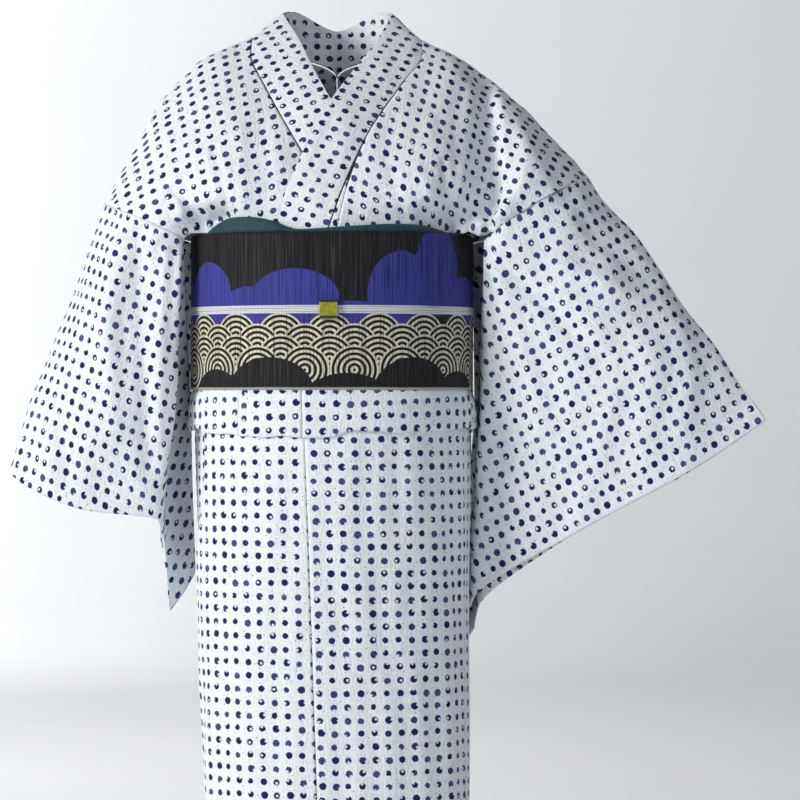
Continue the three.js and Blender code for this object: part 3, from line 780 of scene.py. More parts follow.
class Nodes:
    """A material's nodes, added one by one. An input is a value, a hex colour or the output of another node."""

    def __init__(self, tree: bpy.types.NodeTree) -> None:
        """Starts on a material's empty tree."""
        self.tree = tree

    def add(self, kind: str, inputs: dict[str | int, object] | None = None, **settings: object) -> bpy.types.Node:
        """Adds a node.

        Args:
            kind: The node's type, without the word that all of them start with.
            inputs: Its inputs, by name or number.
            settings: The node's own properties.

        Returns:
            The node.
        """
        node = self.tree.nodes.new("ShaderNode" + kind)
        for key, value in settings.items():
            setattr(node, key, value)
        for key, value in (inputs or {}).items():
            if isinstance(value, bpy.types.NodeSocket):
                self.tree.links.new(value, node.inputs[key])
            else:
                node.inputs[key].default_value = linear(value) if isinstance(value, str) else value
        return node

    def cloth(self) -> Socket:
        """Places on the cloth, in mm."""
        return self.add("UVMap", uv_map="cloth").outputs[0]

    def place(self, across: Socket, up: Socket) -> Socket:
        """A place made of its two parts."""
        return self.add("CombineXYZ", {0: across, 1: up}).outputs[0]

    def parts(self, value: Socket, kind: str = "XYZ") -> Sequence[Socket]:
        """The three parts of a place, or of a colour."""
        return self.add("Separate" + kind, {0: value}).outputs

    def scaled(self, place: Socket, across: float, up: float) -> Socket:
        """Places scaled across and up."""
        return self.add("Mapping", {"Vector": place, "Scale": (across, up, 1)}).outputs[0]

    def math(self, operation: str, *values: Socket | float) -> Socket:
        """An operation on numbers."""
        return self.add("Math", dict(enumerate(values)), operation=operation).outputs[0]

    def vector(self, operation: str, *values: Socket | tuple[float, float, float]) -> Socket:
        """An operation on places, whose result is a number where it is a length."""
        node = self.add("VectorMath", dict(enumerate(values)), operation=operation)
        return node.outputs["Value" if operation == "LENGTH" else "Vector"]

    def ramp(self, value: Socket, start: float, end: float, first: float = 0.0, last: float = 1.0,
             shape: str = "LINEAR") -> Socket:
        """A number that goes from the first to the last while the value goes from the start to the end."""
        inputs = dict(enumerate((value, start, end, first, last)))
        return self.add("MapRange", inputs, interpolation_type=shape).outputs[0]

    def mix(self, share: Socket, first: Socket | str, last: Socket | str) -> Socket:
        """A colour between two."""
        return self.add("Mix", {0: share, 6: first, 7: last}, data_type="RGBA").outputs[2]

    def noise(self, place: Socket, scale: float, detail: float = 2.0, roughness: float = 0.5,
              dimensions: str = "2D") -> Sequence[Socket]:
        """The outputs of a fractal noise, its height first."""
        inputs = {"Vector": place, "Scale": scale, "Detail": detail, "Roughness": roughness}
        return self.add("TexNoise", inputs, noise_dimensions=dimensions).outputs

    def cells(self, place: Socket, randomness: float = 1.0, feature: str = "F1") -> dict[str, Socket]:
        """The outputs of a Voronoi pattern whose cells are 1 apart."""
        inputs = {"Vector": place, "Scale": 1.0, "Randomness": randomness}
        return self.add("TexVoronoi", inputs, voronoi_dimensions="2D", feature=feature).outputs

    def surface(self, colour: Socket, relief: Socket, strength: float, depth: float, **inputs: float) -> Socket:
        """The shader of a surface with small bumps.

        Args:
            colour: Its colour.
            relief: Height of the bumps.
            strength: How strongly they show.
            depth: Their depth in metres.
            inputs: Other inputs of the shader, their spaces written as underscores.

        Returns:
            The shader's output.
        """
        bump = self.add("Bump", {"Height": relief, "Strength": strength, "Distance": depth}).outputs[0]
        rest = {name.replace("_", " "): value for name, value in inputs.items()}
        return self.add("BsdfPrincipled", {"Base Color": colour, "Normal": bump, **rest}).outputs[0]


class Finish:
    """A material that is made once and shared by the pieces of its finish."""

    name = "finish"

    def made(self) -> bpy.types.Material:
        """The material, with its nodes."""
        found = bpy.data.materials.get(self.name)
        if found:
            return found
        material = bpy.data.materials.new(self.name)
        material.use_nodes = True
        material.node_tree.nodes.clear()
        nodes = Nodes(material.node_tree)
        nodes.add("OutputMaterial", {"Surface": self.shader(nodes)})
        return material

    def shader(self, n: Nodes) -> Socket:
        """The output that the surface shows."""
        raise NotImplementedError


@dataclass(frozen=True)
class DottedCotton(Finish):
    """Unlined cotton of a slubbed plain weave, resist dyed in navy: dry and matt, with soft-edged hand-made dots.

    The threads are about 0.4 mm apart, too fine to show here, so the crinkle is drawn at about 2.4 mm, with painted
    shade in its hollows.

    Attributes:
        ground: Colour of the raised threads.
        hollow: Colour between them, a painted shade darker than the raised threads.
        ink: The dots' colour.
        pale_ink: The same where it is worn.
        dot_radius: Millimetres.
        sizes: The smallest and the largest dot, as shares of the radius.
        strays: Share of the pitch by which a dot may stray.
        wavers: Millimetres by which the dots' outlines waver.
        bitten_above: Chance above which a dot has a hole that makes it a crescent or a ring.
        hole: Where a hole's edge starts and ends, in pitches from its middle.
        crinkle: Millimetres between crinkles across the thread.
        crinkle_run: How much longer they are along it, as a share of the scale.
        slub: Scales of the slubs across and along the thread, in 1/mm.
        speck_pitch: Millimetres between the places of the specks.
    """

    name: str = "dotted_cotton"
    ground: str = "#f6f9fb"
    # painted shade of the crinkle's hollows
    hollow: str = "#dde5ec"
    ink: str = "#0e1b55"
    pale_ink: str = "#7183b4"
    dot_radius: float = 3.5
    sizes: tuple[float, float] = (0.86, 1.12)
    strays: float = 0.13
    wavers: float = 1.5
    bitten_above: float = 0.34
    hole: tuple[float, float] = (0.07, 0.125)
    crinkle: float = 2.4
    crinkle_run: float = 0.28
    slub: tuple[float, float] = (0.05, 1 / 1.1)
    speck_pitch: float = 5.4

    def dots(self, n: Nodes, uv: Socket) -> tuple[Socket, Socket]:
        """Dots in rows, many of them with a hole out of their middle.

        Args:
            n: The material's nodes.
            uv: Places on the cloth.

        Returns:
            Where the dots are, and a chance for each to be paler.
        """
        sway = n.vector("SUBTRACT", n.noise(uv, 0.62)["Color"], (0.5, 0.5, 0.5))
        ragged = n.vector("MULTIPLY_ADD", sway, (self.wavers, self.wavers, 0.0), uv)
        pitches = n.scaled(ragged, 1 / DOT_PITCH, 1 / DOT_PITCH)
        dot = n.cells(pitches, self.strays)
        chance = n.parts(dot["Color"], "Color")
        least, most = (self.dot_radius / DOT_PITCH * size for size in self.sizes)
        inside = n.math("SUBTRACT", n.ramp(chance[0], 0.0, 1.0, least, most), dot["Distance"])
        body = n.ramp(inside, -0.012, 0.03, shape="SMOOTHSTEP")
        from_middle = n.vector("SUBTRACT", pitches, dot["Position"])
        away = n.vector("MULTIPLY", n.vector("SUBTRACT", dot["Color"], (0.5, 0.42, 0.5)), (0.5, 0.5, 0.0))
        from_hole = n.vector("LENGTH", n.vector("SUBTRACT", from_middle, away))
        hole = n.ramp(from_hole, *self.hole, 0.96, 0.0)
        taken = n.math("MULTIPLY", hole, n.math("GREATER_THAN", chance[2], self.bitten_above))
        return n.math("MULTIPLY", body, n.math("SUBTRACT", 1.0, taken)), chance[1]

    def specks(self, n: Nodes, uv: Socket) -> Socket:
        """Where the few small specks between the dots are."""
        speck = n.cells(n.scaled(uv, 1 / self.speck_pitch, 1 / self.speck_pitch))
        radius = n.ramp(n.parts(speck["Color"], "Color")[0], 0.55, 1.0, 0.0, 0.11)
        return n.math("GREATER_THAN", radius, speck["Distance"])

    def shader(self, n: Nodes) -> Socket:
        """White ground with dots, crescents, rings and specks, over a crinkled weave with painted shade in its
        hollows.
        """
        uv = n.cloth()
        dots, chance = self.dots(n, uv)
        worn = n.ramp(n.noise(uv, 0.9, 3.0, 0.7)[0], 0.42, 0.6)
        blue = n.mix(n.ramp(chance, 0.4, 1.0, 0.05, 0.8), self.ink, n.mix(worn, self.ink, self.pale_ink))
        crinkle = n.noise(n.scaled(uv, 1 / self.crinkle, self.crinkle_run / self.crinkle), 1.0, 4.0, 0.62)[0]
        relief = n.math("MULTIPLY_ADD", n.noise(n.scaled(uv, *self.slub), 1.0)[0], 0.45, crinkle)
        # painted shade: the low places of the crinkle take the darker hollow colour
        white = n.mix(n.ramp(relief, 0.45, 0.95), self.hollow, self.ground)
        colour = n.mix(n.math("MAXIMUM", dots, self.specks(n, uv)), white, blue)
        return n.surface(colour, relief, 0.85, 0.0012, Roughness=0.88, Sheen_Weight=0.06, Sheen_Roughness=0.5,
                         Specular_IOR_Level=0.2)


@dataclass(frozen=True)
class RibbedSilk(Finish):
    """Black belt silk, woven with coarse uneven warp ribs: a low sheen across the ribs, and rib stripes that are
    partly the weave and partly painted light and shade, figures in dyed yarn.

    The figures are traditional ones: rows of arcs as waves, and plain bands of hills in mist.

    Attributes:
        ground: Colour of the belt.
        rib_light: The same on the ribs that catch the light.
        mist: The hills' blue.
        mist_dark: The same on those ribs.
        yarn: The arcs' ivory.
        yarn_dark: The same on those ribs.
        edge: Colour of the belt's lower edge.
        rib: Millimetres between ribs.
        arc_radius: Millimetres from an arc's middle to its outermost line.
        arc_line: Half the distance in mm between its lines.
        arc_rows: Heights of the rows of arcs, the hindmost first.
        hills: Centres and radii in mm of the ovals that make up the mist.
        foot_hills: The same for the black hills along the foot.
        repeat: Millimetres after which the hills come again.
    """

    name: str = "ribbed_belt_silk"
    ground: str = "#121114"
    rib_light: str = "#35343a"
    mist: str = "#3c3e92"
    # the hills' blue on the ribs: partly the weave's stripes, partly painted rib shade
    mist_dark: str = "#191a4c"
    yarn: str = "#d8d2be"
    # the arcs' ivory on the ribs: partly the weave's breaks, partly painted rib shade
    yarn_dark: str = "#6d695f"
    edge: str = "#b9b6ae"
    rib: float = 1.3
    arc_radius: float = 25.0
    arc_line: float = 2.7
    arc_rows: tuple[float, ...] = (52.0, 41.0, 30.0, 19.0)
    hills: tuple[tuple[float, float, float, float], ...] = (
        (-36.0, 92.0, 46.0, 30.0), (-86.0, 84.0, 30.0, 20.0), (24.0, 72.0, 42.0, 17.0), (74.0, 96.0, 36.0, 44.0),
        (118.0, 120.0, 30.0, 46.0), (-140.0, 96.0, 34.0, 34.0), (-176.0, 84.0, 30.0, 22.0), (160.0, 90.0, 30.0, 26.0),
    )
    foot_hills: tuple[tuple[float, float, float, float], ...] = (
        (-62.0, -2.0, 46.0, 34.0), (18.0, -6.0, 40.0, 22.0), (88.0, -4.0, 44.0, 36.0), (-128.0, -6.0, 34.0, 26.0),
        (150.0, -6.0, 34.0, 24.0),
    )
    repeat: float = 360.0

    def union(self, n: Nodes, uv: Socket, ovals: tuple[tuple[float, float, float, float], ...]) -> Socket:
        """How deep in the nearest of several ovals: the largest of 1 minus the distance in radii.

        Args:
            n: The material's nodes.
            uv: Pattern places.
            ovals: Centres and radii in mm.

        Returns:
            Above 0 inside.
        """
        deepest: Socket | float = -1.0
        for x, y, wide, high in ovals:
            radii = n.vector("MULTIPLY", n.vector("SUBTRACT", uv, (x, y, 0)), (1 / wide, 1 / high, 0))
            deepest = n.math("MAXIMUM", deepest, n.math("SUBTRACT", 1.0, n.vector("LENGTH", radii)))
        return deepest

    def shader(self, n: Nodes) -> Socket:
        """Ribbed black ground, blue hills, rows of ivory arcs in front of them and black hills along the foot."""
        raw = n.cloth()
        across, up, _ = n.parts(raw)
        uv = n.place(n.math("WRAP", across, self.repeat / 2, -self.repeat / 2), up)
        ribs = n.noise(n.scaled(raw, 1 / self.rib, 0.012), 1.0, 3.0, 0.7)[0]
        # rib stripes, partly the weave and partly painted light and shade: the black lighter, the blue and the ivory
        # darker on the ribs
        lit = n.ramp(ribs, 0.5, 0.66)
        black = n.mix(lit, self.ground, self.rib_light)
        blue = n.mix(lit, self.mist, self.mist_dark)
        ivory = n.mix(lit, self.yarn, self.yarn_dark)
        shade = n.mix(n.ramp(self.union(n, uv, self.hills), -0.006, 0.01), black, blue)
        for number, height in enumerate(self.arc_rows):
            moved = n.math("ADD", across, self.arc_radius * (number % 2))
            inside = n.math("WRAP", moved, self.arc_radius, -self.arc_radius)
            far = n.vector("LENGTH", n.place(inside, n.math("SUBTRACT", up, height)))
            within = n.ramp(far, self.arc_radius - 0.2, self.arc_radius + 0.2, 1.0, 0.0)
            drawn = n.ramp(n.math("PINGPONG", far, self.arc_line), self.arc_line * 0.46, self.arc_line * 0.6)
            shade = n.mix(within, shade, n.mix(drawn, self.ground, ivory))
        shade = n.mix(n.ramp(self.union(n, uv, self.foot_hills), -0.004, 0.006), shade, black)
        shade = n.mix(n.ramp(up, 1.1, 1.6, 0.75, 0.0), shade, self.edge)
        return n.surface(shade, ribs, 0.5, 0.0008, Roughness=0.7, Sheen_Weight=0.03, Specular_IOR_Level=0.2)


@dataclass(frozen=True)
class CrepeSilk(Finish):
    """Teal silk crepe, tie-dyed: small puckered grains about 1.6 mm apart that catch a dull light."""

    name: str = "teal_crepe"
    ground: str = "#062a30"
    # painted highlight on the grains' tops
    raised: str = "#0f454d"
    grain: float = 1.6

    def shader(self, n: Nodes) -> Socket:
        """Puckered grains, with a painted highlight on top."""
        grains = n.cells(n.scaled(n.cloth(), 1 / self.grain, 1 / self.grain), feature="SMOOTH_F1")["Distance"]
        height = n.ramp(grains, 0.1, 0.7, 1.0, 0.0)
        # painted highlight: the grains' raised middles take the lighter colour
        colour = n.mix(height, self.ground, self.raised)
        return n.surface(colour, height, 0.7, 0.0006, Roughness=0.7, Sheen_Weight=0.08)


@dataclass(frozen=True)
class BraidedSilk(Finish):
    """White silk braid: plaited strands about 1.5 mm long that cross in a herringbone, with a soft gloss and painted
    shade between the strands.
    """

    name: str = "white_silk_braid"
    ground: str = "#e9e9ec"
    # painted shade between the plaits
    hollow: str = "#9a9aa2"
    plait: float = 1.5

    def shader(self, n: Nodes) -> Socket:
        """Slanting plaits that turn back at the middle of each cord, with painted shade in the hollows between them.
        """
        along, round_it, _ = n.parts(n.cloth())
        slant = n.math("MULTIPLY_ADD", n.math("PINGPONG", round_it, 1.0), 1.1, along)
        height = n.ramp(n.math("PINGPONG", slant, self.plait / 2), 0.0, 0.4)
        # painted shade: the low places between the plaits take the darker hollow colour
        colour = n.mix(height, self.hollow, self.ground)
        return n.surface(colour, height, 0.5, 0.0004, Roughness=0.45, Sheen_Weight=0.2)


@dataclass(frozen=True)
class FusedGlass(Finish):
    """Fused glass, yellow-green, drawn darker olive towards its top and bottom edges: clear gloss outside, cloudy
    streaks inside.
    """

    name: str = "fused_glass"
    clear: str = "#bdb52c"
    cloudy: str = "#8e8a1e"
    rim: str = "#262a08"

    def shader(self, n: Nodes) -> Socket:
        """Cloudy middle between darker upper and lower rims."""
        place = n.add("TexCoord").outputs["Object"]
        centred = n.add("Mapping", {"Vector": place, "Location": (0, 0, -CORD_MIDDLE * MM)}).outputs[0]
        streaks = n.noise(centred, 260.0, 3.0, dimensions="3D")[0]
        middle = n.mix(n.ramp(streaks, 0.35, 0.68), self.clear, self.cloudy)
        far = n.math("ABSOLUTE", n.parts(centred)[2])
        half = SLIDE_HEIGHT / 2 * MM
        colour = n.mix(n.ramp(far, half * 0.66, half * 0.76), middle, self.rim)
        return n.add("BsdfPrincipled", {
            "Base Color": colour, "Roughness": 0.08, "IOR": 1.5, "Transmission Weight": 0.25,
            "Coat Weight": 0.6, "Coat Roughness": 0.04,
        }).outputs[0]


@dataclass(frozen=True)
class PaintedPaper(Finish):
    """Matt white studio paper, faintly mottled."""

    name: str = "studio_paper"
    ground: str = "#f3f4f5"
    mottled: str = "#eff0f2"

    def shader(self, n: Nodes) -> Socket:
        """Two whites that are close to each other."""
        mottle = n.noise(n.add("TexCoord").outputs["Object"], 1.5, dimensions="3D")[0]
        colour = n.mix(mottle, self.ground, self.mottled)
        return n.add("BsdfPrincipled", {"Base Color": colour, "Roughness": 0.95}).outputs[0]


# Parts of the garment


@dataclass
class Bodice:
    """The two bodices, the collar's runs and the overlap's sliver above the belt."""

    columns: int = 96
    rows: int = 190
    left_folds: tuple[Fold, ...] = (
        Fold(((500, 97), (528, 148), (548, 185), (574, 219)), 9, 3.0),
        Fold(((484, 83), (488, 121), (492, 162), (491, 200), (485, 236)), 9, -5.0),
        Fold(((498, 100), (503, 125), (507, 162), (505, 200), (497, 232)), 6, 3.4),
        Fold(((470, 90), (464, 140), (466, 180)), 8, 2.4),
        Fold(((440, 120), (438, 170), (452, 225)), 8, -1.6),
        Fold(((450, 236), (447, 200), (444, 160)), 3.4, -3.2),
        Fold(((459, 236), (458, 200), (461, 165)), 3.2, 3.0),
        Fold(((468, 238), (470, 205), (472, 170)), 3.2, -3.2),
        Fold(((478, 238), (481, 210), (481, 180)), 3.2, 3.0),
        Fold(((466, 240), (500, 214), (540, 206)), 4, 2.4),
        Fold(((468, 244), (510, 230), (546, 226)), 4, -2.0),
        Fold(((462, 236), (470, 205), (468, 175)), 4, 1.6),
        Fold(((440, 234), (432, 200), (418, 165)), 5, 1.4),
        Fold(((405, 232), (400, 200), (388, 160)), 5, -1.2),
    )
    right_folds: tuple[Fold, ...] = (
        Fold(((178, 200), (184.6, 231), (181.5, 246), (179, 257)), 6, 2.4),
        Fold(((205, 236), (196, 214), (172, 190)), 4, -2.2),
        Fold(((214, 236), (208, 205), (196, 172)), 5, 2.0),
        Fold(((228, 232), (226, 200), (214, 150)), 5, -1.8),
        Fold(((240, 226), (244, 190), (240, 130)), 7, 1.6),
        Fold(((262, 222), (268, 190), (262, 130)), 7, -1.2),
        Fold(((150, 100), (160, 140), (172, 180)), 10, 1.6),
    )

    def pieces(self) -> list[Cloth]:
        """The sewn pieces, each with its cut and its creases."""
        across = np.linspace(0.001, 3.999, self.columns)
        along = np.linspace(0, LAST_ROW, self.rows)
        left = Cloth("bodice_left", lambda u, v: bodice_point(LEFT_BODICE, u, v), across, along, 1, (0.21, 0.47),
                     ("belt_band",), Thread((-2.7, 12.4), (11.2, 5.6)), self.left_folds, Slack(11, 0.9, 200, 60),
                     spine=int(self.columns * 0.3), most=6, tucked=TUCKED, edge_share=0.25)
        right = Cloth("bodice_right", lambda u, v: bodice_point(RIGHT_BODICE, u, v), across, along, -1, (0.2, 0.47),
                      ("belt_band",), Thread((2.0, 12.0), (-12.6, 4.0)), self.right_folds, Slack(23, 0.9, 200, 60),
                      spine=int(self.columns * 0.3), most=6, tucked=TUCKED, edge_share=0.25)
        return [left, right, *self.collar(), self.overlap()]

    def run(self, rows: Array, bodice: Array) -> Surface:
        """A run of the collar: straight from its sewn edge to its free one, crowned by 4u(1-u) of its crown.

        Args:
            rows: The run's table.
            bodice: The bodice that it is sewn to.

        Returns:
            Its surface.
        """

        def surface(u: Array, v: Array) -> Array:
            """Points at a share u of the way to the free edge, on row v."""
            shape = u.shape
            u, v = u.ravel(), v.ravel()
            table = through(rows[:, 0], rows[:, 1:], v)
            sewn = bodice_point(bodice, 0.0, v)
            sewn[:, 0] -= table[:, 3]
            point = sewn + (table[:, :3] - sewn) * u[:, None]
            fades = np.clip((SHOULDER_ROW - v) / 2, 0, 1)
            starts = np.clip((v - 0.5) / 1.5, 0, 1)
            point[:, 1] -= CROWN * 4 * u * (1 - u) * fades * starts
            return point.reshape(*shape, 3)

        return surface

    def back_run(self, u: Array, v: Array) -> Array:
        """The collar behind the neck: straight from the bodices' neck edge to the free edge.

        Args:
            u: Share of the way to the free edge.
            v: Rows from the middle of the back, below 0 on the left.

        Returns:
            The points.
        """
        shape = u.shape
        u, v = u.ravel(), v.ravel()
        row = NAPE_ROW - np.abs(v)
        sewn = np.where((v < 0)[:, None], bodice_point(LEFT_BODICE, 0.0, row), bodice_point(RIGHT_BODICE, 0.0, row))
        free = through(BACK_COLLAR[:, 0], BACK_COLLAR[:, 1:], v)
        return (sewn + (free - sewn) * u[:, None]).reshape(*shape, 3)

    def collar(self) -> list[Cloth]:
        """The collar's left run over its right one, and the part behind the neck; a folded band, so it is thick."""
        across = np.concatenate([[0.02, 0.035, 0.06], np.linspace(0.1, 0.93, 20), [0.965, 0.985, 1.0]])
        end = SHOULDER_ROW - 0.05
        thick = {"thickness": 1.8, "fade": 14.0, "spine": len(across) // 2, "held": "folded"}
        left = Cloth("collar_left", self.run(LEFT_COLLAR, LEFT_BODICE), across, np.linspace(0, end, 130), -1,
                     (0.048, 0.31), ("cloth_bodice_left",), Thread((-5.6, 9.6), (12.3, 5.6)),
                     (Fold(((333, 120), (318, 150), (306, 186)), 4, -0.7),), Slack(31, 0.35, 160, 50), **thick)
        right = Cloth("collar_right", self.run(RIGHT_COLLAR, RIGHT_BODICE), across, np.linspace(2, end, 90), 1,
                      (0.048, 0.22), ("cloth_bodice_right",), Thread((5.6, 9.6), (-12.3, 5.6)), (),
                      Slack(37, 0.3, 160, 50), most=0.4, **thick)
        back = Cloth("collar_back", self.back_run, across, np.linspace(-1.96, 1.96, 110), -1, (0.045, 0.24),
                     ("cloth_bodice_left", "cloth_bodice_right"), Thread(), (), Slack(41, 0.4, 160, 50), **thick)
        return [left, right, back]

    def overlap(self) -> Cloth:
        """The overlap's sliver between the collar and the left bodice: it follows the bodice's edge."""

        def surface(u: Array, v: Array) -> Array:
            """Points at a share u of the sliver's width, on row v."""
            shape = u.shape
            u, v = u.ravel(), v.ravel()
            drawn = through(LEFT_COLLAR[:, 0], LEFT_COLLAR[:, 4:], v)[:, 0]
            point = bodice_point(LEFT_BODICE, 0.0, v)
            point[:, 0] -= SEAM + u * (drawn - 2 * SEAM)
            return point.reshape(*shape, 3)

        return Cloth("overlap_left_upper", surface, np.linspace(0, 1, 8), np.linspace(0, 2.1, 50), -1, (0.012, 0.055),
                     ("cloth_bodice_left",), Thread(), seam=0.2, fade=3.0, area=0.0003)


@dataclass
class Sleeves:
    """The two sleeves: the left arm is raised and its sleeve hangs slanting, the right arm hangs down."""

    turns: int = 200
    rows: int = 130
    left_folds: tuple[Fold, ...] = (
        Fold(((500, 246), (560, 262), (640, 300)), 9, 4.0),
        Fold(((496, 256), (540, 300), (600, 360)), 9, -4.2),
        Fold(((494, 262), (520, 340), (545, 430)), 10, 3.6),
        Fold(((486, 280), (498, 370), (505, 470)), 8, -3.2),
        Fold(((570, 200), (600, 240), (650, 280)), 8, -3.2),
        Fold(((620, 380), (600, 440), (580, 520)), 12, 2.8),
        Fold(((680, 330), (690, 380), (680, 430)), 11, 2.8),
    )
    right_folds: tuple[Fold, ...] = (
        Fold(((112, 240), (108, 320), (116, 430)), 12, 5.2),
        Fold(((140, 230), (142, 330), (148, 470)), 9, -4.8),
        Fold(((166, 250), (160, 340), (158, 440)), 6, 3.4),
        Fold(((78, 280), (66, 350), (60, 440)), 12, -3.2),
        Fold(((176, 215), (150, 230), (110, 236)), 5, -3.0),
    )

    def pieces(self) -> list[Cloth]:
        """The two bags, closed round the arm, with a sharp fold along the bottom."""
        across = np.arange(self.turns) * 4 / self.turns
        along = np.linspace(0.0006, 1, self.rows)
        left = Bag(LEFT_BODICE, LEFT_FIRST, LEFT_SLEEVE, LEFT_SHARES)
        right = Bag(RIGHT_BODICE, RIGHT_FIRST, RIGHT_SLEEVE, RIGHT_SHARES)
        whole = {"closed": True, "spine": self.turns // 2, "fold_edge": True, "held": "hung", "fade": 30.0}
        return [
            Cloth("sleeve_left", left.point, across, along, 1, (0.31, 0.76), ("cloth_bodice_left",),
                  Thread((6.8, 11.2), (-10.6, 6.1)), self.left_folds, Slack(53, 1.5, 300, 70), **whole),
            Cloth("sleeve_right", right.point, across, along, -1, (0.31, 0.76), ("cloth_bodice_right",),
                  Thread((-4.2, 12.2), (10.2, 4.7)), self.right_folds, Slack(59, 1.4, 300, 64), **whole),
        ]


def skirt_line(number: int) -> Callable[[Array], Array]:
    """Angle of a line of the skirt's front, as a function of the level.

    Args:
        number: 1 for the overlap's seam, 2 for its free edge.

    Returns:
        The function.
    """
    return lambda level: through(-SKIRT_LINES[:, 0], SKIRT_LINES[:, number : number + 1], -level.ravel()).reshape(
        level.shape)


def over_lift(angle: Array) -> Array:
    """How far the left front lies outside the right one: it rises over 20 degrees from the left side."""
    return WRAP * ease((LEFT_SIDE - angle) / WRAP_TURN)


@dataclass
class Skirt:
    """The skirt: the left front with its overlap outside, the right front under it, and the two backs."""

    rows: int = 200
    step: float = 1.4  # degrees between columns
    front_folds: tuple[Fold, ...] = (
        Fold(((350, 440), (352, 560), (356, 790)), 9, 0.8),
        Fold(((400, 440), (404, 600), (410, 790)), 10, -0.9),
        Fold(((430, 440), (432, 560), (436, 790)), 8, 1.2),
        Fold(((452, 440), (450, 600), (452, 790)), 6, -0.8),
        Fold(((325, 442), (330, 613), (333, 797)), 4, -0.9),
        Fold(((466, 440), (440, 470), (400, 490)), 6, 1.2),
    )
    overlap_folds: tuple[Fold, ...] = (
        Fold(((280, 440), (284, 560), (290, 790)), 8, 0.8),
        Fold(((246, 440), (250, 560), (262, 790)), 9, -0.8),
        Fold(((222, 440), (222, 520), (232, 700)), 6, 1.0),
    )

    def panel(self, node: str, start: Callable[[Array], Array], end: Callable[[Array], Array], turn: float,
              lift: Callable[[Array], Array], cut: tuple[float, float], rests: tuple[str, ...],
              **rest: object) -> Cloth:
        """A panel: angles from its first line to its last, at every level, on the body's form.

        Args:
            node: The CAD node.
            start: Angle of its first edge by level.
            end: Angle of its last edge by level.
            turn: Degrees that it covers, for the number of columns.
            lift: How far out it lies, by angle.
            cut: Its flat cut.
            rests: What it rests on.
            rest: Other fields of the cloth.

        Returns:
            The piece.
        """

        def surface(u: Array, v: Array) -> Array:
            """Points at a share u between the panel's edges, at level v."""
            first = start(v)
            angle = first + (end(v) - first) * u
            return on_body(angle, v, lift(angle))

        columns = max(12, round(turn / self.step))
        levels = np.linspace(SKIRT_TOP, HEM, self.rows)
        return Cloth(node, surface, np.linspace(0, 1, columns), levels, -1, cut, rests, **rest)

    def pieces(self) -> list[Cloth]:
        """The six panels."""

        def at(angle: float) -> Callable[[Array], Array]:
            """An edge that stays at one angle."""
            return lambda level: np.full(level.shape, angle)

        def flush(angle: Array) -> Array:
            """No lift."""
            return np.zeros(angle.shape)

        seam, edge = skirt_line(1), skirt_line(2)
        over = {"least": -1.0, "most": 6.0}
        under = {"most": 0.6, "least": -6.0}
        band = ("belt_band",)
        return [
            self.panel("skirt_front_left", at(LEFT_SIDE - GAP_TURN), lambda z: seam(z) + GAP_TURN, 81, over_lift,
                       (0.175, 0.948), band, folds=self.front_folds, slack=Slack(61, 0.9, 500, 60), spine=55, **over),
            self.panel("skirt_overlap_left", lambda z: seam(z) - GAP_TURN, edge, 84, over_lift, (0.168, 0.948), band,
                       folds=self.overlap_folds, slack=Slack(67, 0.8, 500, 60), spine=2,
                       thread=Thread(start=(0.4, 0.3)), **over),
            self.panel("skirt_front_right", at(UNDER_OVERLAP - GAP_TURN), at(RIGHT_SIDE + GAP_TURN), 121, flush,
                       (0.258, 0.948), band, slack=Slack(71, 0.7, 500, 60), spine=12, **under),
            self.panel("skirt_overlap_right", at(UNDER_EDGE), at(UNDER_OVERLAP + GAP_TURN), 34, flush, (0.07, 0.948),
                       band, slack=Slack(73, 0.5, 500, 60), **under),
            self.panel("skirt_back_left", at(RIGHT_ANGLE - GAP_TURN), at(LEFT_SIDE + GAP_TURN), 107, flush,
                       (0.228, 0.948), band, slack=Slack(79, 1.4, 600, 70)),
            self.panel("skirt_back_right", at(360 + RIGHT_SIDE - GAP_TURN), at(RIGHT_ANGLE + GAP_TURN), 74, flush,
                       (0.163, 0.948), band, slack=Slack(83, 1.4, 600, 70)),
        ]


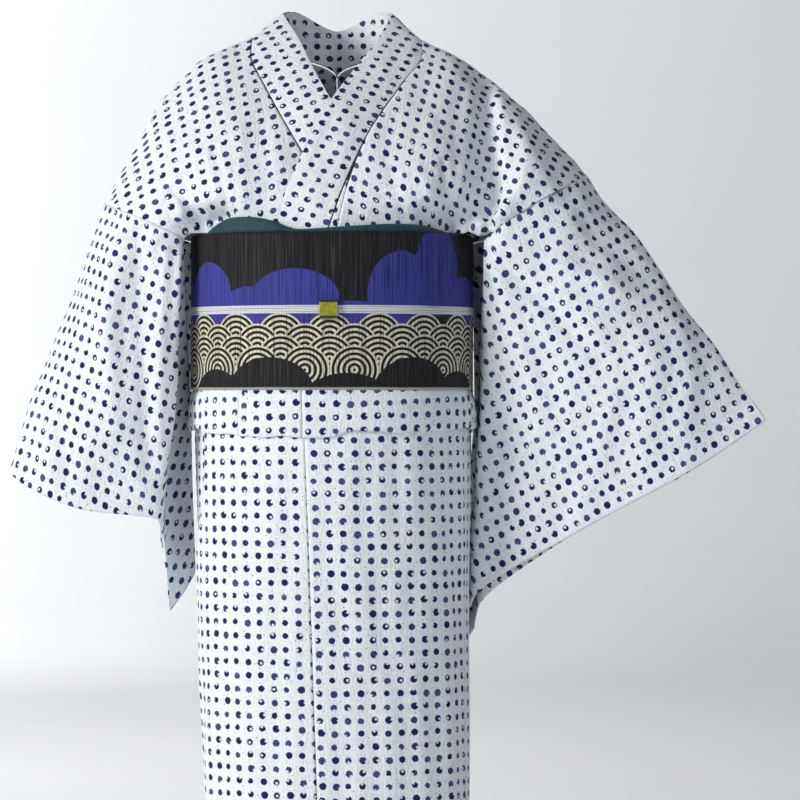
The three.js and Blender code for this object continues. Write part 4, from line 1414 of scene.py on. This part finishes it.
@dataclass
class Tuck:
    """The tuck under the belt: a soft fold that hangs out below it, one stretch for each panel that shows in it."""

    profile: int = 40
    step: float = 1.2  # degrees between rows
    lift_from: float = -364.0
    lift_over: float = 24.0
    waves: tuple[tuple[float, float, float], ...] = ((0.8, 0.23, 1.0), (0.5, 0.51, 0.0))  # mm, turn, start

    def stretch(self, node: str, start: float, end: float, cut: tuple[float, float], seed: int,
                start_at: tuple[float, float]) -> Cloth:
        """A stretch: the tuck's section carried round the body's form.

        Args:
            node: The CAD node.
            start: Its first angle.
            end: Its last angle.
            cut: Its flat cut.
            seed: Chooses its waves.
            start_at: Where its pattern starts.

        Returns:
            The piece.
        """

        def surface(u: Array, v: Array) -> Array:
            """Points at place u of the section, at angle v; the lift and two slow waves draw up the low part."""
            section = through(np.arange(len(TUCK)), TUCK, u.ravel()).reshape(*u.shape, 2)
            low = ease((self.lift_from - section[..., 1]) / self.lift_over)
            lift = through(TUCK_LIFT[:, 0], TUCK_LIFT[:, 1:], v.ravel()).reshape(v.shape)
            wave = sum(height * np.sin(turn * v + first) for height, turn, first in self.waves)
            return on_body(v, section[..., 1] + low * (lift + wave), section[..., 0])

        turns = max(8, round(abs(end - start) / self.step))
        section = np.linspace(0, len(TUCK) - 1, self.profile)
        return Cloth(node, surface, section, np.linspace(start, end, turns), 1, cut, ("cloth_skirt_front_left",),
                     Thread((0.0, 12.8), (13.3, -0.5), start_at), (), Slack(seed, 0.7, 40, 90), spine=14, fade=10.0,
                     least=-0.8, most=2.0, held="folded", seam=0.35)

    def pieces(self) -> list[Cloth]:
        """The three stretches in front and the two behind."""
        side, seam, edge, end = TUCK_LINES
        return [
            self.stretch(node, start - GAP_TURN, stop + GAP_TURN, (0.08, length), seed, start_at)
            for node, start, stop, length, seed, start_at in (
                ("tuck_front_left", side, seam, 0.2, 91, (0.2, 0.1)),
                ("tuck_overlap_left", seam, edge, 0.066, 93, (0.6, 0.2)),
                ("tuck_collar_end", edge, end, 0.108, 95, (0.1, 0.7)),
                ("tuck_back_left", RIGHT_ANGLE, side, 0.25, 97, (0.3, 0.4)),
                ("tuck_back_right", 360 + end, RIGHT_ANGLE, 0.22, 99, (0.5, 0.5)),
            )
        ]


@dataclass(frozen=True)
class Upright(Thread):
    """A pattern that stands upright on the belt: mm across from the front's middle, mm up from the belt's foot."""

    def places(self, flat: Array) -> Array:
        """The unrolled cloth measured from the middle of the front and the belt's foot."""
        return flat - np.array(self.start)


@dataclass
class Belt:
    """The belt: its band round the waist, the drum bow behind with its tail and hand, and the scarf above it.

    Attributes:
        rounds: Columns round the band.
        band_rows: Rows between its two rolled edges.
        roll: How far its edges turn in, and over how many mm.
        swell: How much fuller it is at its middle.
        scarf_rise: How far the scarf stands out above the belt, and over how many mm it gets there.
        scarf_turn: How far its top turns in, and over which share of its height.
        pleats: Height of its pleats, how often they come up its height, and their slant in radians to a degree.
    """

    rounds: int = 300
    band_rows: int = 60
    roll: tuple[float, float] = (1.5, 2.0)
    swell: float = 0.5
    scarf_rise: tuple[float, float] = (2.4, 6.0)
    scarf_turn: tuple[float, float] = (3.0, 0.14)
    pleats: tuple[float, float, float] = (0.5, 21.0, 0.08)

    def band(self) -> Cloth:
        """The band: round the body's form, a little fuller at its middle, its two long edges rolled in."""

        def surface(u: Array, v: Array) -> Array:
            """Points at angle u and share v of the height; the edges turn in over their last millimetres."""
            level = BELT_TOP + (BELT_FOOT - BELT_TOP) * v
            edge = np.minimum(BELT_TOP - level, level - BELT_FOOT)
            depth, reach = self.roll
            roll = depth * np.clip(1 - edge / reach, 0, 1) ** 2
            return on_body(u, level, BELT_CLEAR + BELT_WALL - roll + self.swell * np.sin(math.pi * v))

        ends = np.array([0, 0.002, 0.005, 0.009, 0.013])
        rows = np.concatenate([ends, np.linspace(0.02, 0.98, self.band_rows), 1 - ends[::-1]])
        turns = np.arange(self.rounds) * 360 / self.rounds
        folds = (Fold(((196, 244), (300, 241), (468, 247)), 1.6, -0.5), Fold(((200, 380), (470, 381)), 2, -0.25))
        return Cloth("belt_band", surface, turns, rows, 1, (0.16, 0.86), ("scarf", "cloth_bodice_left"),
                     Upright(start=(-1.0, BELT_FOOT)), folds, Slack(101, 0.35, 200, 70), closed=True,
                     spine=self.rounds * 3 // 4, fade=12.0, thickness=1.6, held="stretched", slot=Slot.BELT, seam=0.0)

    def drum(self) -> list[Cloth]:
        """The bow: its section carried across; the tail and hand hang flat inside it."""

        def bow(u: Array, v: Array) -> Array:
            """Points at place u of the section and v across."""
            section = through(np.arange(len(DRUM)), DRUM, u.ravel()).reshape(*u.shape, 2)
            return np.stack([v, section[..., 0], section[..., 1]], axis=-1)

        def flat_at(back: float) -> Surface:
            """An upright plane so far back, its points at level u and v across."""
            return lambda u, v: np.stack([v, np.full(u.shape, back), u], axis=-1)

        half = DRUM_HALF_WIDTH
        silk = {"slot": Slot.BELT, "thickness": 1.2, "held": "folded", "seam": 0.3}
        return [
            Cloth("bow_drum", bow, np.linspace(0, len(DRUM) - 1, 150), np.linspace(-half, half, 120), -1,
                  (0.3, 0.57), ("belt_cords",), Upright(start=(0.0, DRUM_FIGURES)), (), Slack(103, 1.3, 260, 120),
                  fade=20.0, spine=90, least=-2.5, most=2.5, **silk),
            Cloth("belt_tail", flat_at(TAIL["y"]), np.linspace(TAIL["foot"], TAIL["top"], 60),
                  np.linspace(-TAIL["half"], TAIL["half"], 100), -1, (0.296, 0.161), ("bow_drum",),
                  Upright(start=(0.0, TAIL["foot"])), (), Slack(107, 0.35, 200, 120), fade=10.0, **silk),
            Cloth("belt_hand", flat_at(HAND["y"]), np.linspace(HAND["foot"], HAND["top"], 40),
                  np.linspace(HAND["right"], HAND["left"], 80), -1, (0.284, 0.14), ("belt_cords",),
                  Upright(start=(0.0, HAND["foot"])), (), Slack(109, 0.25, 200, 120), fade=10.0, **silk),
        ]

    def scarf(self) -> Cloth:
        """The scarf: a soft roll that swells above the belt's edge and turns in along its top."""

        def surface(u: Array, v: Array) -> Array:
            """Points at angle u and share v of the height, fuller above the belt with shallow pleats."""
            top = through(-SCARF[:, 0], SCARF[:, 1:], -u.ravel())[:, 0].reshape(u.shape)
            level = SCARF_FOOT + (top - SCARF_FOOT) * v
            (rise, over), (turn, share), (height, often, slant) = self.scarf_rise, self.scarf_turn, self.pleats
            above = ease((level - BELT_TOP + 1) / over)
            turned = ease((v - (1 - share)) / share)
            pleats = height * np.sin(v * often + u * slant) * above
            return on_body(u, level, SCARF_CLEAR + SCARF_WALL + above * (rise - turn * turned) + pleats)

        return Cloth("scarf", surface, np.linspace(SCARF[0, 0], SCARF[-1, 0], 200), np.linspace(0, 1, 44), 1,
                     (0.028, 0.29), ("cloth_bodice_left", "cloth_bodice_right"), Upright(start=(0.0, SCARF_FOOT)), (),
                     Slack(113, 0.25, 40, 26), spine=100, fade=5.0, least=-0.3, most=0.8, thickness=1.5,
                     held="gathered", slot=Slot.SCARF, seam=0.0)

    def pieces(self) -> list[Cloth]:
        """The belt's cloth pieces."""
        return [self.band(), *self.drum(), self.scarf()]


@dataclass
class Cords:
    """The flat cord: five round braids side by side, round the belt and straight through the bow.

    Attributes:
        strands: Braids side by side.
        steps: Rings along each.
        sides: Corners of a ring.
        fullness: Half thickness of a braid as a share of the cord's wall, and its share of its own half height.
        rise: How far a braid wavers up and down, over how many mm, and how far the next one is behind.
        sway: The same in and out.
    """

    strands: int = 5
    steps: int = 360
    sides: int = 12
    fullness: tuple[float, float] = (0.42, 1.04)
    rise: tuple[float, float, float] = (0.12, 31.0, 2.1)
    sway: tuple[float, float, float] = (0.15, 23.0, 1.0)

    def path(self, angle: Array) -> Array:
        """Points of the cord's course: on the belt in front, then straight through the bow behind.

        Args:
            angle: Degrees, -90 in front and 90 behind.

        Returns:
            The points.
        """
        side = np.where(angle > RIGHT_ANGLE, -1.0, 1.0)
        turn = np.where(angle > RIGHT_ANGLE, 180 - angle, angle)
        low, high = CORD_DROP_TURNS
        level = CORD_MIDDLE - CORD_DROP * ease((turn - low) / (high - low))
        on_belt = on_body(angle, level, BELT_CLEAR + BELT_WALL + 0.3)
        behind = through(CORD_THROUGH[:, 0], CORD_THROUGH[:, 1:], np.maximum(turn, CORD_THROUGH[0, 0]))
        behind = np.stack([side * behind[:, 0], behind[:, 1], level], axis=-1)
        share = ease((turn - CORD_LEAVES) / (CORD_THROUGH[0, 0] - CORD_LEAVES))[:, None]
        return on_belt * (1 - share) + behind * share

    def make(self, finish: bpy.types.Material) -> bpy.types.Object:
        """Builds the braids: circles carried along the course, each at its own height and slightly wavering.

        Args:
            finish: Their material.

        Returns:
            The object.
        """
        angle = -RIGHT_ANGLE + np.arange(self.steps) * 360 / self.steps
        middle = self.path(angle)
        ahead = np.roll(middle, -1, axis=0) - np.roll(middle, 1, axis=0)
        out = np.stack([ahead[:, 1], -ahead[:, 0], np.zeros(self.steps)], axis=-1)
        out /= np.linalg.norm(out, axis=-1, keepdims=True)
        run = np.concatenate([[0], np.cumsum(np.linalg.norm(np.diff(middle, axis=0), axis=-1))])
        radius = CORD_HEIGHT / self.strands / 2
        round_turn = np.arange(self.sides) * 2 * math.pi / self.sides
        points, faces, corners = [], [], []
        quads, wide = grid_quads(self.steps + 1, self.sides, True)
        length = np.append(run, run[-1] + np.linalg.norm(middle[0] - middle[-1]))
        v, u = np.meshgrid(np.linspace(0, 4, self.sides + 1), length)
        places = np.stack([u, v], axis=-1).reshape(-1, 2)
        thick, high = self.fullness
        ring = (np.cos(round_turn)[None, :, None] * out[:, None] * CORD_WALL * thick
                + np.sin(round_turn)[None, :, None] * np.array([0, 0, radius * high])[None, None])
        for strand in range(self.strands):
            rise, sway = (size * np.sin(run / over + strand * later) for size, over, later in (self.rise, self.sway))
            centre = middle + out * (0.2 + CORD_WALL * thick + sway)[:, None]
            centre[:, 2] += CORD_HEIGHT / 2 - radius * (2 * strand + 1) + rise
            points.append((centre[:, None] + ring).reshape(-1, 3))
            faces.append(quads % (self.steps * self.sides) + strand * self.steps * self.sides)
            corners.append(places[wide])
        piece = new_piece("braided_cords", np.concatenate(points), np.concatenate(faces), np.concatenate(corners))
        piece.data.materials.append(finish)
        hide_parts("belt_cords")
        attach(piece, "root")
        return piece


@dataclass
class Slide:
    """The glass slide on the cord: a block with a slot behind, its edges fire-polished round."""

    corner_steps: int = 5
    round_edge: float = 1.5
    polish: float = 0.9
    sharp: float = 50.0  # degrees above which an edge is polished round

    def outline(self) -> Array:
        """Its section from the side: straight stretches with a quarter circle at each outer corner, the slot behind.

        Returns:
            Points out from the belt and up, in mm.
        """
        half, slot, depth = SLIDE_HEIGHT / 2, CORD_HEIGHT / 2 + SLIDE_CLEAR, CORD_WALL + 2 * SLIDE_CLEAR
        quarter = np.linspace(0, math.pi / 2, self.corner_steps)
        r = self.round_edge
        lower = np.stack([SLIDE_DEPTH - r + r * np.sin(quarter), -half + r - r * np.cos(quarter)], axis=-1)
        upper = np.stack([SLIDE_DEPTH - r + r * np.cos(quarter), half - r + r * np.sin(quarter)], axis=-1)
        start = np.array([(0.0, -half)])
        end = np.array([(0.0, half), (0.0, slot), (depth, slot), (depth, -slot), (0.0, -slot)])
        return np.concatenate([start, lower, upper, end])

    def make(self, finish: bpy.types.Material) -> bpy.types.Object:
        """Builds the block: its section at both ends, joined by faces, with its edges bevelled.

        Args:
            finish: Its material.

        Returns:
            The object.
        """
        section = self.outline()
        count = len(section)
        back = on_body(np.array([-RIGHT_ANGLE]), np.array([CORD_MIDDLE]), BELT_CLEAR + BELT_WALL + SLIDE_CLEAR)[0, 1]
        ends = [np.stack([np.full(count, x), back - section[:, 0], CORD_MIDDLE + section[:, 1]], axis=-1)
                for x in (SLIDE_RIGHT, SLIDE_RIGHT + SLIDE_WIDTH)]
        mesh = bpy.data.meshes.new("glass_slide")
        sides = [(i, (i + 1) % count, count + (i + 1) % count, count + i) for i in range(count)]
        caps = [tuple(range(count))[::-1], tuple(range(count, 2 * count))]
        mesh.from_pydata((np.concatenate(ends) * MM).tolist(), [], sides + caps)
        mesh.validate()
        piece = bpy.data.objects.new("glass_slide", mesh)
        bpy.context.scene.collection.objects.link(piece)
        bevel = piece.modifiers.new("polished_edges", "BEVEL")
        bevel.width = self.polish * MM
        bevel.segments = 3
        bevel.angle_limit = math.radians(self.sharp)
        bevel.limit_method = "ANGLE"
        piece.data.materials.append(finish)
        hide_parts("slide_glass")
        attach(piece, "root")
        return piece


# The studio


@dataclass
class Studio:
    """A pale floor that turns up all round at a distance, soft lights and the camera.

    Attributes:
        floor: The floor's level.
        level: How far out it stays level, in mm.
        bend: Radius of its turn upward.
        top: Level of its upper rim.
        rounds: Columns round it.
        air: Strength of the light from all sides.
    """

    floor: float = -1345.0
    level: float = 11000.0
    bend: float = 3000.0
    top: float = 2600.0
    rounds: int = 96
    air: float = 0.27

    def backdrop(self, finish: bpy.types.Material) -> None:
        """A level floor that turns up over a quarter circle at its edge, the same all round.

        Args:
            finish: Its material.
        """
        turn = np.linspace(0, math.pi / 2, 24)
        bend = np.stack([self.level + self.bend * np.sin(turn), self.floor + self.bend * (1 - np.cos(turn))], axis=-1)
        rim = (self.level + self.bend, self.top)
        profile = np.concatenate([[(1.0, self.floor), (3000.0, self.floor)], bend, [rim]])
        angle = np.arange(self.rounds) * 2 * math.pi / self.rounds
        away, level = profile[:, :1], profile[:, 1:]
        grid = np.stack(np.broadcast_arrays(away * np.cos(angle), away * np.sin(angle), level), axis=-1)
        quads, _ = grid_quads(len(profile), self.rounds, True)
        sheet = new_piece("studio_backdrop", grid.reshape(-1, 3), quads)
        sheet.data.materials.append(finish)

    def lamp(self, name: str, place: tuple[float, float, float], aim: tuple[float, float, float], side: float,
             power: float, colour: str) -> None:
        """A square soft light.

        Args:
            name: Its name.
            place: Where it is, in metres.
            aim: Where it points.
            side: Its side in metres.
            power: Watts.
            colour: Its colour.
        """
        light = bpy.data.lights.new(name, "AREA")
        light.size = side
        light.energy = power
        light.color = linear(colour)[:3]
        lamp = bpy.data.objects.new(name, light)
        away = np.subtract(aim, place)
        flat = math.hypot(away[0], away[1])
        lamp.location = place
        lamp.visible_camera = False
        lamp.rotation_euler = (math.pi / 2 + math.atan2(away[2], flat), 0, math.atan2(-away[0], away[1]))
        bpy.context.scene.collection.objects.link(lamp)

    def lights(self) -> None:
        """A key light from the front left, a weak fill, a back light and two washes on the far wall."""
        self.lamp("key", (-2.8, -2.1, 0.7), (0.0, 0, -0.45), 1.2, 102, "#fffdf8")
        self.lamp("fill", (1.2, -3.4, -0.3), (0.1, 0, -0.4), 2.0, 14, "#eaf3ff")
        self.lamp("back", (-2.5, 5.5, 2.2), (0.0, 0, -0.5), 2.5, 150, "#ffffff")
        self.lamp("wall_left", (-5.0, 8.3, 3.0), (-4.2, 13.0, -1.3), 2.5, 400, "#ffffff")
        self.lamp("wall_all", (2.5, 6.0, 4.5), (0.5, 13.8, -0.6), 4.0, 40, "#ffffff")
        world = bpy.data.worlds.new("studio_air")
        world.use_nodes = True
        world.node_tree.nodes["Background"].inputs[0].default_value = linear("#eef3f8")
        world.node_tree.nodes["Background"].inputs[1].default_value = self.air
        bpy.context.scene.world = world
        bpy.context.scene.view_settings.view_transform = "Standard"

    def camera(self) -> None:
        """The photograph's camera: level, far off, its lens from the field's width at the object's middle."""
        data = bpy.data.cameras.new("camera")
        data.sensor_width = SENSOR
        data.lens = SENSOR * -CAMERA[1] / (PHOTO_SCALE * PHOTO_SIDE)
        data.clip_end = 50
        camera = bpy.data.objects.new("camera", data)
        camera.location = tuple(value * MM for value in CAMERA)
        camera.rotation_euler = (math.pi / 2, 0, 0)
        bpy.context.scene.collection.objects.link(camera)
        bpy.context.scene.camera = camera

    def make(self) -> None:
        """Sets up the camera, the sheet and the lights."""
        self.camera()
        self.backdrop(PaintedPaper().made())
        self.lights()


@dataclass
class Kimono:
    """The whole garment with its belt set."""

    bodice: Bodice = field(default_factory=Bodice)
    sleeves: Sleeves = field(default_factory=Sleeves)
    skirt: Skirt = field(default_factory=Skirt)
    tuck: Tuck = field(default_factory=Tuck)
    belt: Belt = field(default_factory=Belt)
    cords: Cords = field(default_factory=Cords)
    slide: Slide = field(default_factory=Slide)

    def make(self) -> list[bpy.types.Object]:
        """Builds and dresses every piece.

        Returns:
            The pieces.
        """
        finishes = {Slot.COTTON: DottedCotton(), Slot.BELT: RibbedSilk(), Slot.SCARF: CrepeSilk()}
        cloth = [part for group in (self.bodice, self.sleeves, self.skirt, self.tuck, self.belt)
                 for part in group.pieces()]
        made = [part.make(finishes[part.slot].made()) for part in cloth]
        made.append(self.cords.make(BraidedSilk().made()))
        made.append(self.slide.make(FusedGlass().made()))
        return made


def main() -> None:
    """Loads the frame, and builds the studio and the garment."""
    logging.basicConfig(level=logging.INFO, format="%(name)s: %(message)s")
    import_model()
    Studio().make()
    for piece in Kimono().make():
        area = sum(face.area for face in piece.data.polygons) / 2
        log.info("%s: %d faces, %.4f m2 a side", piece.name, len(piece.data.polygons), area)


if __name__ == "__main__":
    main()
